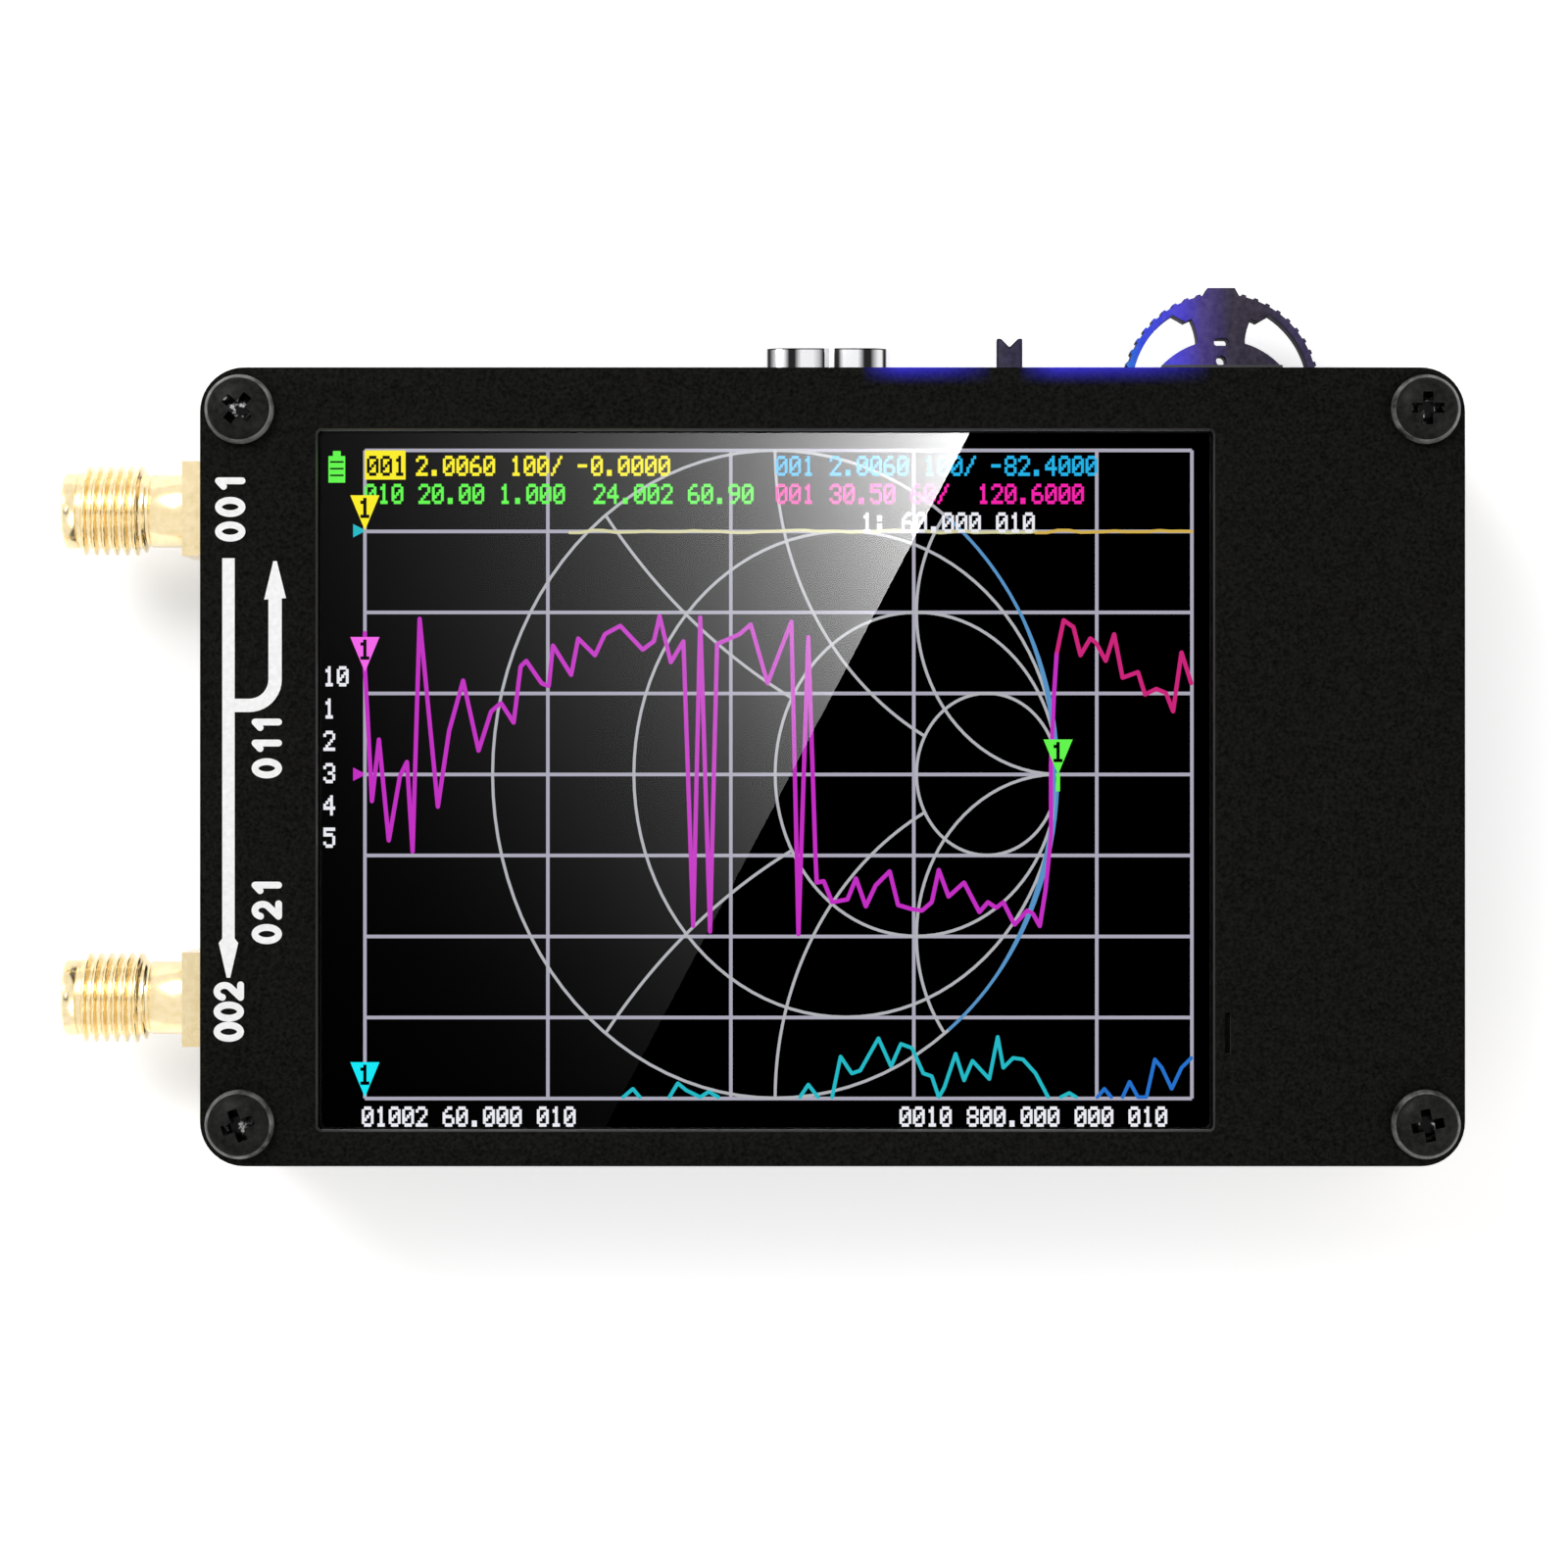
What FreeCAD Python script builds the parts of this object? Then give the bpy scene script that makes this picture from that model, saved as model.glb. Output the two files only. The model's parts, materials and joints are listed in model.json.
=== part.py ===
import FreeCAD, Part
import math
import os

from FreeCAD import Vector

# A pocket antenna analyzer: two black plates with a circuit board between them on hexagonal standoffs,
# a touch display in the front plate's window, two coaxial ports on the left, and a USB-C socket, a slide
# switch and a toothed jog lever along the top edge. It lies on its back with the display facing up.
# Lengths are in millimetres. The model is laid out about the plates' centre, with z = 0 under the rear
# screw heads, and moved once, when it is saved, so that the origin is at the centre of its underside.

# Plates
PLATE_W = 85.5
PLATE_H = 54.0
PLATE_T = 1.6
PLATE_CORNER_R = 3.0
WINDOW_LEFT = -34.94
WINDOW_W = 60.8
WINDOW_BOTTOM = -24.67
WINDOW_H = 47.55
WINDOW_CORNER_R = 0.4
SLIT_GAP = 0.66
SLIT_W = 0.4
SLIT_L = 2.8
SLIT_BOTTOM = -19.4
SLIT_DEPTH = 0.5

# Fasteners
HOLE_PITCH_X = 80.1
HOLE_PITCH_Y = 48.3
THREAD_R = 1.25
HOLE_CLEARANCE = 0.15
THREAD_CLEARANCE = 0.04
HEAD_R = 2.35
HEAD_H = 1.5
HEAD_RIM_H = 0.6
HEAD_FLAT_R = 1.7
RECESS_SPAN = 2.5
RECESS_SLOT = 0.7
RECESS_DEPTH = 0.9
FRONT_SCREW_L = 4.0
BACK_SCREW_L = 5.0
HEX_FLATS = 4.5
BACK_STANDOFF_L = 6.0
FRONT_STANDOFF_L = 5.0
STUD_L = 3.6
BLIND_DEPTH = 4.2

# Circuit board
BOARD_T = 1.6
BOARD_INSET = 0.2

# Display
LCD_W = 69.2
LCD_H = 50.0
LCD_LEFT = -37.2
LCD_BOTTOM = -25.9
FOAM_T = 1.0
FOAM_W = 3.0
TRAY_T = 1.8
TRAY_WALL = 0.7
TRAY_FLOOR = 0.5
LCD_CELL_T = 0.8
LCD_CELL_INSET = 1.2
TOUCH_T = 1.0
TOUCH_INSET = 0.4
FLEX_T = 0.2
FLEX_W = 22.0
FLEX_REACH = 1.7
FLEX_FOOT = 2.4

# Coaxial ports
PORT_YS = (17.8, -16.0)
PORT_DROP = 0.4
FLANGE_SIDE = 6.5
FLANGE_T = 2.15
BARREL_L = 8.47
NECK_R = 2.65
NECK_L = 2.75
THREAD_MAJOR_R = 3.1
THREAD_L = 4.6
LEAD_R = 2.7
THREAD_CHAMFER = 0.35
PORT_BORE_R = 2.31
PORT_BORE_DEPTH = 1.93
DIELECTRIC_R = 2.05
CONTACT_R = 0.635
CONTACT_HOLE_R = 0.47
CONTACT_HOLE_DEPTH = 3.0
CONTACT_SLOT = 0.15
CONTACT_SLOT_L = 1.8
TAIL_R = 0.4
TAIL_L = 3.0
LEG_SIDE = 1.0
LEG_L = 4.0

# USB-C socket
USB_X = -0.3
USB_MOUTH_Y = 29.1
USB_W = 8.94
USB_H = 3.16
USB_L = 7.3
USB_CORNER_R = 1.5
USB_WALL = 0.3
USB_SEAM = 0.35
TONGUE_W = 6.69
TONGUE_T = 0.7
TONGUE_L = 5.2
USB_PLUG_T = 1.2
PAD_W = 0.25
PAD_PITCH = 0.5
PAD_L = 3.2
PAD_T = 0.05
PAD_COUNT = 12
FIT_GAP = 0.02

# Slide switch
SWITCH_X = 13.4
SWITCH_W = 6.8
SWITCH_D = 2.7
SWITCH_FRONT_Y = 27.6
SWITCH_H = 1.5
SWITCH_WALL = 0.2
KNOB_W = 1.77
KNOB_T = 0.9
KNOB_TIP_Y = 29.8
KNOB_NOTCH = 0.6
KNOB_TRAVEL = 2.0
SLIDER_W = 3.2
SLIDER_T = 0.95
SLIDE_GAP = 0.08

# Jog lever and its switch
JOG_X = 27.15
JOG_Y = 23.1
JOG_PUSH = 0.45
JOG_SWING = 12.0
LEVER_T = 2.0
LEVER_FLOOR_GAP = 0.2
HUB_R = 5.7
HUB_OFFSET = 0.95
HUB_CUT = 1.6
RIM_R = 6.7
RIM_T = 0.48
RIM_OFFSET = 3.15
TOOTH_H = 0.14
TOOTH_PITCH_DEG = 7.6
TOOTH_HALF_DEG = 2.3
TOOTH_TIP_HALF_DEG = 1.2
TOOTH_FIRST_DEG = 13.5
TOOTH_COUNT = 9
THUMB_PAD_W = 1.9
THUMB_PAD_FOOT_W = 2.9
THUMB_PAD_H = 0.42
SPOKE_RIM_W = 4.6
SPOKE_WAIST_W = 3.3
SHOULDER_T = 1.33
SHOULDER_HALF_DEG = 34.0
SPOKE_FLARE = 0.2
EYE_R = 0.35
EYE_Y = 28.3
SLOT_EYE_Y = 29.6
SLOT_EYE_W = 1.0
SLOT_EYE_H = 0.5
PIVOT_R = 0.6
PIVOT_CLEARANCE = 0.05
TAIL_HALF_W = 1.2
LEVER_TAIL_L = 4.2
JOG_BASE_T = 0.6
JOG_HALF_W = 6.1
JOG_REAR_Y = 15.6
JOG_WALL_END_Y = 19.5
JOG_FRONT_Y = 26.2
JOG_LIP_Y = 27.95
JOG_LIP_HALF_W = 4.2
JOG_WALL = 1.0
JOG_COVER_T = 0.2
CARRIAGE_T = 0.5
CARRIAGE_HALF_W = 4.6
CARRIAGE_GAP = 0.05
CHEEK_W = 0.9
DOME_R = 1.1
DOME_H = 0.25
DOME_T = 0.1

# Battery and its leads
BATTERY_W = 40.0
BATTERY_H = 30.0
BATTERY_T = 4.0
BATTERY_CORNER_R = 1.6
BATTERY_LEFT = -12.0
BATTERY_JOG_GAP = 3.4
BATTERY_TAPE_T = 0.2
LEAD_WIRE_R = 0.45
LEAD_SIDES = 8
ROD_SIDES = 12
LEAD_PITCH = 1.25
PLUG_X = -19.6
PLUG_FACE_Y = 5.0
PLUG_W = 4.1
PLUG_L = 3.6
PLUG_H = 2.4
SOCKET_WALL = 0.6
SOCKET_L = 5.2
PLUG_RISE = 1.0
LEAD_START_Y = -5.3
LEAD_START_PITCH = 1.5

# Parts on the board's rear side: places, then sizes as width, height and how far they hang down
SHIELD_X = -29.8
SHIELD_W = 14.0
SHIELD_H = 15.0
SHIELD_DROP = 1.6
SHIELD_WALL = 0.2
SHIELD_SHIFT = 1.8
MIXER_W = 4.9
MIXER_H = 3.9
MIXER_DROP = 1.1
CONTROLLER_X = -6.0
CONTROLLER_Y = 16.0
CONTROLLER_SIDE = 7.0
CONTROLLER_DROP = 1.5
CONTROLLER_PITCH = 0.5
CONTROLLER_LEAD_COUNT = 12
SYNTHESIZER_X = -16.0
SYNTHESIZER_Y = -14.0
SYNTHESIZER_SIDE = 3.0
SYNTHESIZER_DROP = 1.0
SYNTHESIZER_PITCH = 0.5
SYNTHESIZER_LEAD_COUNT = 5
CHARGER_X = 9.5
CHARGER_Y = 18.5
CHARGER_SIDE = 2.9
CHARGER_DROP = 1.1
CHARGER_PITCH = 0.95
CHARGER_LEAD_COUNT = 3
CHIP_LEAD_OUT = 1.0
CHIP_LEAD_T = 0.2
CHIP_STANDOFF = 0.1
CODEC_X = -16.0
CODEC_Y = 14.4
CODEC_SIDE = 5.0
CODEC_DROP = 0.85
CRYSTAL_X = -16.0
CRYSTAL_Y = -20.0
CRYSTAL_W = 3.2
CRYSTAL_H = 2.5
CRYSTAL_DROP = 0.7
INDUCTOR_X = 15.2
INDUCTOR_Y = 18.5
INDUCTOR_SIDE = 4.0
INDUCTOR_DROP = 1.9
INDUCTOR_CORNER_R = 0.8
LED_XS = (6.9, 18.5)
LED_EDGE_GAP = 0.8
LED_W = 2.0
LED_H = 1.25
LED_DROP = 0.8
PASSIVE_W = 0.8
PASSIVE_H = 1.6
PASSIVE_DROP = 0.45
PASSIVE_PITCH = 1.6
PASSIVE_ROW_SHORT = 5
PASSIVE_ROW_MIDDLE = 6
PASSIVE_ROW_LONG = 8
PASSIVE_ROWS = (
    (-36.5, 3.6, PASSIVE_ROW_MIDDLE),
    (-36.5, -2.6, PASSIVE_ROW_MIDDLE),
    (-12.0, -20.6, PASSIVE_ROW_LONG),
    (-20.2, 20.8, PASSIVE_ROW_SHORT),
    (6.4, 14.4, PASSIVE_ROW_SHORT),
)

# Places worked out from the sizes above
Z_BACK = HEAD_H
Z_BACK_TOP = Z_BACK + PLATE_T
Z_BOARD = Z_BACK_TOP + BACK_STANDOFF_L
Z_BOARD_TOP = Z_BOARD + BOARD_T
Z_FRONT = Z_BOARD_TOP + FRONT_STANDOFF_L
Z_FRONT_TOP = Z_FRONT + PLATE_T
Z_TRAY = Z_BOARD_TOP + FOAM_T
Z_CELL = Z_TRAY + TRAY_T
Z_TOUCH = Z_CELL + LCD_CELL_T
Z_PORT = Z_BOARD - PORT_DROP
PORT_EDGE_X = BOARD_INSET - PLATE_W / 2
X_FLANGE = PORT_EDGE_X - FLANGE_T
X_PORT_TIP = X_FLANGE - BARREL_L
LEVER_TOP = Z_BOARD - JOG_BASE_T - LEVER_FLOOR_GAP
LEVER_BOTTOM = LEVER_TOP - LEVER_T
THUMB_PAD_Y = JOG_Y + RIM_OFFSET + RIM_R + THUMB_PAD_H
LCD_RIGHT = LCD_LEFT + LCD_W
BATTERY_BOTTOM = JOG_REAR_Y - JOG_COVER_T - BATTERY_JOG_GAP - BATTERY_H
PLUG_Z = Z_BACK_TOP + BATTERY_TAPE_T + BATTERY_T / 2 + PLUG_RISE
SHIELD_YS = (PORT_YS[0] - SHIELD_SHIFT, PORT_YS[1] + SHIELD_SHIFT)
LED_Y = PLATE_H / 2 - BOARD_INSET - LED_EDGE_GAP - LED_H / 2
LCD_MID_Y = LCD_BOTTOM + LCD_H / 2
SCREW_PLACES = [(sx * HOLE_PITCH_X / 2, sy * HOLE_PITCH_Y / 2) for sx in (-1, 1) for sy in (-1, 1)]
ORIGIN = Vector((X_PORT_TIP + PLATE_W / 2) / 2, (THUMB_PAD_Y - PLATE_H / 2) / 2, 0)

X_AXIS = Vector(1, 0, 0)
Y_AXIS = Vector(0, 1, 0)
Z_AXIS = Vector(0, 0, 1)


def save(node, shape):
    shape = shape.copy()
    shape.translate(-ORIGIN)
    shape.exportStep(f"parts/{node}.step")


def block(x0, x1, y0, y1, z0, z1):
    return Part.makeBox(x1 - x0, y1 - y0, z1 - z0, Vector(x0, y0, z0))


def slab(x0, x1, y0, y1, z0, z1, corner_r):
    """A block with its upright edges rounded."""
    plain = block(x0, x1, y0, y1, z0, z1)
    upright = [e for e in plain.Edges if abs(e.Vertexes[0].Z - e.Vertexes[1].Z) > 1e-6]
    return plain.makeFillet(corner_r, upright)


def rod(radius, start, end):
    """A cylinder from one point to another."""
    along = end - start
    return Part.makeCylinder(radius, along.Length, start, along)


def revolved(profile, base, axis):
    """A solid turned about an axis from (distance along it, radius) points."""
    side = Z_AXIS if abs(axis.z) < 0.5 else X_AXIS
    points = [base + axis * along + side * radius for along, radius in profile]
    face = Part.Face(Part.makePolygon(points + [points[0]]))
    return face.revolve(base, axis, 360)


def flat_shape(edges, z, thickness):
    """A solid pressed up from a closed outline of lines and arcs."""
    face = Part.Face(Part.Wire(Part.__sortEdges__(edges)))
    face.translate(Vector(0, 0, z))
    return face.extrude(Vector(0, 0, thickness))


def sided_rod(radius, start, end):
    """A rod of a few flat sides, for threads, studs and contacts."""
    along = end - start
    across = Vector(0, 1, 0) if abs(along.y) < 1e-9 else X_AXIS
    other = along.normalize().cross(across)
    corners = []
    for k in range(ROD_SIDES + 1):
        a = 2 * math.pi * k / ROD_SIDES
        corners.append(start + across * (radius * math.cos(a)) + other * (radius * math.sin(a)))
    return Part.Face(Part.makePolygon(corners)).extrude(end - start)


def joined(first, *others):
    return first.fuse(list(others)).removeSplitter()


def group(shapes):
    return Part.makeCompound(shapes)


def repeated(shape, places):
    """Copies of a shape made about x = y = 0, one at each place."""
    copies = []
    for x, y in places:
        copy = shape.copy()
        copy.translate(Vector(x, y, 0))
        copies.append(copy)
    return copies


def tube_along(points, radius):
    """A lead bent along straight runs on the level, each corner an arc as large as its two runs allow."""
    edges = []
    start = points[0]
    for before, corner, after in zip(points, points[1:], points[2:]):
        arriving = corner - before
        leaving = after - corner
        tangent = 0.45 * min(arriving.Length, leaving.Length)
        turn = arriving.getAngle(leaving)
        print("lead bend radius", round(tangent / math.tan(turn / 2), 2))
        arriving.normalize()
        leaving.normalize()
        first = corner - arriving * tangent
        last = corner + leaving * tangent
        inward = leaving - arriving
        inward.normalize()
        bend_r = tangent / math.tan(turn / 2)
        middle = corner + inward * (bend_r / math.cos(turn / 2) - bend_r)
        edges.append(Part.LineSegment(start, first).toShape())
        edges.append(Part.Arc(first, middle, last).toShape())
        start = last
    edges.append(Part.LineSegment(start, points[-1]).toShape())
    path = Part.Wire(edges)
    sideways = (points[1] - points[0]).cross(Z_AXIS)
    sideways.normalize()
    corners = []
    for k in range(LEAD_SIDES + 1):
        a = 2 * math.pi * k / LEAD_SIDES
        corners.append(points[0] + (sideways * math.cos(a) + Z_AXIS * math.sin(a)) * radius)
    section = Part.makePolygon(corners)
    tube = path.makePipeShell([section], True, False)
    print("lead volume over section times length", round(tube.Volume / (Part.Face(section).Area * path.Length), 4))
    return tube


# Plates, board and fasteners

def plate(z):
    half_w = PLATE_W / 2
    half_h = PLATE_H / 2
    body = slab(-half_w, half_w, -half_h, half_h, z, z + PLATE_T, PLATE_CORNER_R)
    hole = Part.makeCylinder(THREAD_R + HOLE_CLEARANCE, PLATE_T, Vector(0, 0, z))
    return body.cut(repeated(hole, SCREW_PLACES))


def front_panel():
    """The plate with the display's window, and the shallow slit beside its lower right corner."""
    right = WINDOW_LEFT + WINDOW_W
    window = slab(
        WINDOW_LEFT, right, WINDOW_BOTTOM, WINDOW_BOTTOM + WINDOW_H,
        Z_FRONT, Z_FRONT_TOP, WINDOW_CORNER_R,
    )
    slit = block(
        right + SLIT_GAP, right + SLIT_GAP + SLIT_W, SLIT_BOTTOM, SLIT_BOTTOM + SLIT_L,
        Z_FRONT_TOP - SLIT_DEPTH, Z_FRONT_TOP,
    )
    return plate(Z_FRONT).cut([window, slit])


def main_board():
    half_w = PLATE_W / 2 - BOARD_INSET
    half_h = PLATE_H / 2 - BOARD_INSET
    body = slab(-half_w, half_w, -half_h, half_h, Z_BOARD, Z_BOARD_TOP, PLATE_CORNER_R - BOARD_INSET)
    hole = Part.makeCylinder(THREAD_R + HOLE_CLEARANCE, BOARD_T, Vector(0, 0, Z_BOARD))
    return body.cut(repeated(hole, SCREW_PLACES))


def pan_head_screw(length):
    """A cross-head screw with its head from z = 0 to HEAD_H and its shank below."""
    head = revolved(
        [(0, 0), (0, HEAD_R), (HEAD_RIM_H, HEAD_R), (HEAD_H, HEAD_FLAT_R), (HEAD_H, 0)],
        Vector(0, 0, 0), Z_AXIS,
    )
    screw = joined(head, sided_rod(THREAD_R, Vector(0, 0, -length), Vector(0, 0, 0)))
    half_span = RECESS_SPAN / 2
    half_slot = RECESS_SLOT / 2
    floor = HEAD_H - RECESS_DEPTH
    across = block(-half_span, half_span, -half_slot, half_slot, floor, HEAD_H)
    along = block(-half_slot, half_slot, -half_span, half_span, floor, HEAD_H)
    return screw.cut([across, along])


def front_screws():
    screw = pan_head_screw(FRONT_SCREW_L)
    screw.translate(Vector(0, 0, Z_FRONT_TOP))
    return group(repeated(screw, SCREW_PLACES))


def back_screws():
    screw = pan_head_screw(BACK_SCREW_L)
    screw.rotate(Vector(0, 0, 0), X_AXIS, 180)
    screw.translate(Vector(0, 0, Z_BACK))
    return group(repeated(screw, SCREW_PLACES))


def hexagon(z, length):
    corner_r = HEX_FLATS / math.sqrt(3)
    corners = [
        Vector(corner_r * math.sin(math.radians(60 * k)), corner_r * math.cos(math.radians(60 * k)), z)
        for k in range(7)
    ]
    return Part.Face(Part.makePolygon(corners)).extrude(Vector(0, 0, length))


def front_standoffs():
    tapped = sided_rod(THREAD_R + THREAD_CLEARANCE, Vector(0, 0, Z_BOARD_TOP), Vector(0, 0, Z_FRONT))
    pillar = hexagon(Z_BOARD_TOP, FRONT_STANDOFF_L).cut(tapped)
    return group(repeated(pillar, SCREW_PLACES))


def back_standoffs():
    foot = Vector(0, 0, Z_BACK_TOP)
    shoulder = Vector(0, 0, Z_BOARD)
    tapped = sided_rod(THREAD_R + THREAD_CLEARANCE, foot, foot + Z_AXIS * BLIND_DEPTH)
    stud = sided_rod(THREAD_R, shoulder, shoulder + Z_AXIS * STUD_L)
    pillar = joined(hexagon(Z_BACK_TOP, BACK_STANDOFF_L).cut(tapped), stud)
    return group(repeated(pillar, SCREW_PLACES))


# Display

def lcd_foam_pads():
    top = LCD_BOTTOM + LCD_H
    rows = ((LCD_BOTTOM, LCD_BOTTOM + FOAM_W), (top - FOAM_W, top))
    x0 = LCD_LEFT + FOAM_W
    x1 = LCD_RIGHT - FOAM_W
    return group([block(x0, x1, y0, y1, Z_BOARD_TOP, Z_TRAY) for y0, y1 in rows])


def lcd_tray():
    """The backlight's shallow steel tray, open towards the display."""
    top = LCD_BOTTOM + LCD_H
    body = block(LCD_LEFT, LCD_RIGHT, LCD_BOTTOM, top, Z_TRAY, Z_CELL)
    inner = block(
        LCD_LEFT + TRAY_WALL, LCD_RIGHT - TRAY_WALL, LCD_BOTTOM + TRAY_WALL, top - TRAY_WALL,
        Z_TRAY + TRAY_FLOOR, Z_CELL,
    )
    return body.cut(inner)


def backlight_guide():
    inset = TRAY_WALL + FIT_GAP
    return block(
        LCD_LEFT + inset, LCD_RIGHT - inset, LCD_BOTTOM + inset, LCD_BOTTOM + LCD_H - inset,
        Z_TRAY + TRAY_FLOOR, Z_CELL,
    )


def lcd_cell():
    top = LCD_BOTTOM + LCD_H
    return block(
        LCD_LEFT + LCD_CELL_INSET, LCD_RIGHT - LCD_CELL_INSET,
        LCD_BOTTOM + LCD_CELL_INSET, top - LCD_CELL_INSET, Z_CELL, Z_TOUCH,
    )


def touch_panel():
    top = LCD_BOTTOM + LCD_H
    return block(
        LCD_LEFT + TOUCH_INSET, LCD_RIGHT - TOUCH_INSET, LCD_BOTTOM + TOUCH_INSET, top - TOUCH_INSET,
        Z_TOUCH, Z_TOUCH + TOUCH_T,
    )


def lcd_flex():
    """The ribbon from the display's edge, curled down round the tray's side onto the board."""
    y0 = LCD_MID_Y - FLEX_W / 2
    edge_x = LCD_RIGHT - LCD_CELL_INSET
    high = Z_CELL + LCD_CELL_T / 2 + FLEX_T / 2
    low = Z_BOARD_TOP
    out_x = LCD_RIGHT + FLEX_REACH
    big_r = 1.0
    small_r = big_r - FLEX_T
    turn = math.sqrt(0.5)

    def corner(x, z):
        return Vector(x, y0, z)

    outer_top = [corner(out_x - big_r, high), corner(out_x - big_r + big_r * turn, high - big_r + big_r * turn),
                 corner(out_x, high - big_r)]
    inner_top = [corner(out_x - big_r, high - FLEX_T),
                 corner(out_x - big_r + small_r * turn, high - big_r + small_r * turn),
                 corner(out_x - FLEX_T, high - big_r)]
    foot_x = out_x + small_r
    inner_foot = [corner(out_x, low + big_r), corner(foot_x - small_r * turn, low + big_r - small_r * turn),
                  corner(foot_x, low + FLEX_T)]
    outer_foot = [corner(out_x - FLEX_T, low + big_r), corner(foot_x - big_r * turn, low + big_r - big_r * turn),
                  corner(foot_x, low)]
    end_x = foot_x + FLEX_FOOT
    edges = [
        Part.makeLine(corner(edge_x, high), outer_top[0]),
        Part.Arc(*outer_top).toShape(),
        Part.makeLine(outer_top[2], inner_foot[0]),
        Part.Arc(*inner_foot).toShape(),
        Part.makeLine(inner_foot[2], corner(end_x, low + FLEX_T)),
        Part.makeLine(corner(end_x, low + FLEX_T), corner(end_x, low)),
        Part.makeLine(corner(end_x, low), outer_foot[2]),
        Part.Arc(*outer_foot).toShape(),
        Part.makeLine(outer_foot[0], inner_top[2]),
        Part.Arc(*inner_top).toShape(),
        Part.makeLine(inner_top[0], corner(edge_x, high - FLEX_T)),
        Part.makeLine(corner(edge_x, high - FLEX_T), corner(edge_x, high)),
    ]
    return Part.Face(Part.Wire(edges)).extrude(Vector(0, FLEX_W, 0))


# Coaxial ports

def port_shell(y):
    """Flange, barrel and legs of one edge-launch jack. The screw thread's crests are a plain cylinder."""
    half = FLANGE_SIDE / 2
    flange = block(X_FLANGE, PORT_EDGE_X, y - half, y + half, Z_PORT - half, Z_PORT + half)
    face = Vector(X_FLANGE, y, Z_PORT)
    thread_end = NECK_L + THREAD_L
    barrel = revolved(
        [(0, 0), (0, NECK_R), (NECK_L, NECK_R), (NECK_L + THREAD_CHAMFER, THREAD_MAJOR_R),
         (thread_end - THREAD_CHAMFER, THREAD_MAJOR_R), (thread_end, LEAD_R), (BARREL_L, LEAD_R), (BARREL_L, 0)],
        face, -X_AXIS,
    )
    legs = []
    for side in (-1, 1):
        edge = y + side * half
        y0, y1 = sorted((edge, edge - side * LEG_SIDE))
        legs.append(block(PORT_EDGE_X, PORT_EDGE_X + LEG_L, y0, y1, Z_BOARD_TOP, Z_PORT + half))
        legs.append(block(PORT_EDGE_X, PORT_EDGE_X + LEG_L, y0, y1, Z_BOARD - LEG_SIDE, Z_BOARD))
    body = joined(flange, barrel, *legs)
    through = rod(DIELECTRIC_R, Vector(X_PORT_TIP, y, Z_PORT), Vector(PORT_EDGE_X, y, Z_PORT))
    mouth = rod(PORT_BORE_R, Vector(X_PORT_TIP, y, Z_PORT), Vector(X_PORT_TIP + PORT_BORE_DEPTH, y, Z_PORT))
    return body.cut([through, mouth])


def port_dielectric(y):
    start = Vector(X_PORT_TIP + PORT_BORE_DEPTH, y, Z_PORT)
    end = Vector(PORT_EDGE_X, y, Z_PORT)
    return rod(DIELECTRIC_R, start, end).cut(rod(CONTACT_R, start, end))


def port_contact(y):
    """The centre contact: a slotted socket at the mouth and a thin tail under the board."""
    mouth = Vector(X_PORT_TIP + PORT_BORE_DEPTH, y, Z_PORT)
    edge = Vector(PORT_EDGE_X, y, Z_PORT)
    socket = sided_rod(CONTACT_R, mouth, edge)
    tail = sided_rod(TAIL_R, edge, edge + X_AXIS * TAIL_L)
    hole = sided_rod(CONTACT_HOLE_R, mouth, mouth + X_AXIS * CONTACT_HOLE_DEPTH)
    half = CONTACT_SLOT / 2
    end_x = mouth.x + CONTACT_SLOT_L
    upright = block(mouth.x, end_x, y - half, y + half, Z_PORT - CONTACT_R, Z_PORT + CONTACT_R)
    level = block(mouth.x, end_x, y - CONTACT_R, y + CONTACT_R, Z_PORT - half, Z_PORT + half)
    return joined(socket, tail).cut([hole, upright, level])


# USB-C socket

def usb_block(inset, y0, y1):
    """The socket's rounded section, drawn in by an inset, between two planes along Y."""
    half_w = USB_W / 2 - inset
    x0 = USB_X - half_w
    x1 = USB_X + half_w
    z0 = Z_BOARD - USB_H + inset
    z1 = Z_BOARD - inset
    plain = block(x0, x1, y0, y1, z0, z1)
    along = [e for e in plain.Edges if abs(e.Vertexes[0].Y - e.Vertexes[1].Y) > 1e-6]
    return plain.makeFillet(USB_CORNER_R - inset, along)


def usb_shell():
    back = USB_MOUTH_Y - USB_L
    seam_top = Z_BOARD - USB_WALL
    seam = block(USB_X - USB_SEAM / 2, USB_X + USB_SEAM / 2, back, USB_MOUTH_Y, seam_top, Z_BOARD)
    return usb_block(0, back, USB_MOUTH_Y).cut([usb_block(USB_WALL, back, USB_MOUTH_Y), seam])


def tongue_sizes():
    back = USB_MOUTH_Y - USB_L
    middle = Z_BOARD - USB_H / 2
    return back + USB_PLUG_T, middle - TONGUE_T / 2, middle + TONGUE_T / 2


def usb_tongue():
    back = USB_MOUTH_Y - USB_L
    face_y, z0, z1 = tongue_sizes()
    plug = usb_block(USB_WALL + FIT_GAP, back, face_y)
    blade = block(USB_X - TONGUE_W / 2, USB_X + TONGUE_W / 2, face_y, face_y + TONGUE_L, z0, z1)
    tip = [e for e in blade.Edges if abs(e.CenterOfMass.y - face_y - TONGUE_L) < 1e-6
           and abs(e.Vertexes[0].Z - e.Vertexes[1].Z) > 1e-6]
    return joined(plug, blade.makeFillet(0.8, tip))


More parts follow.
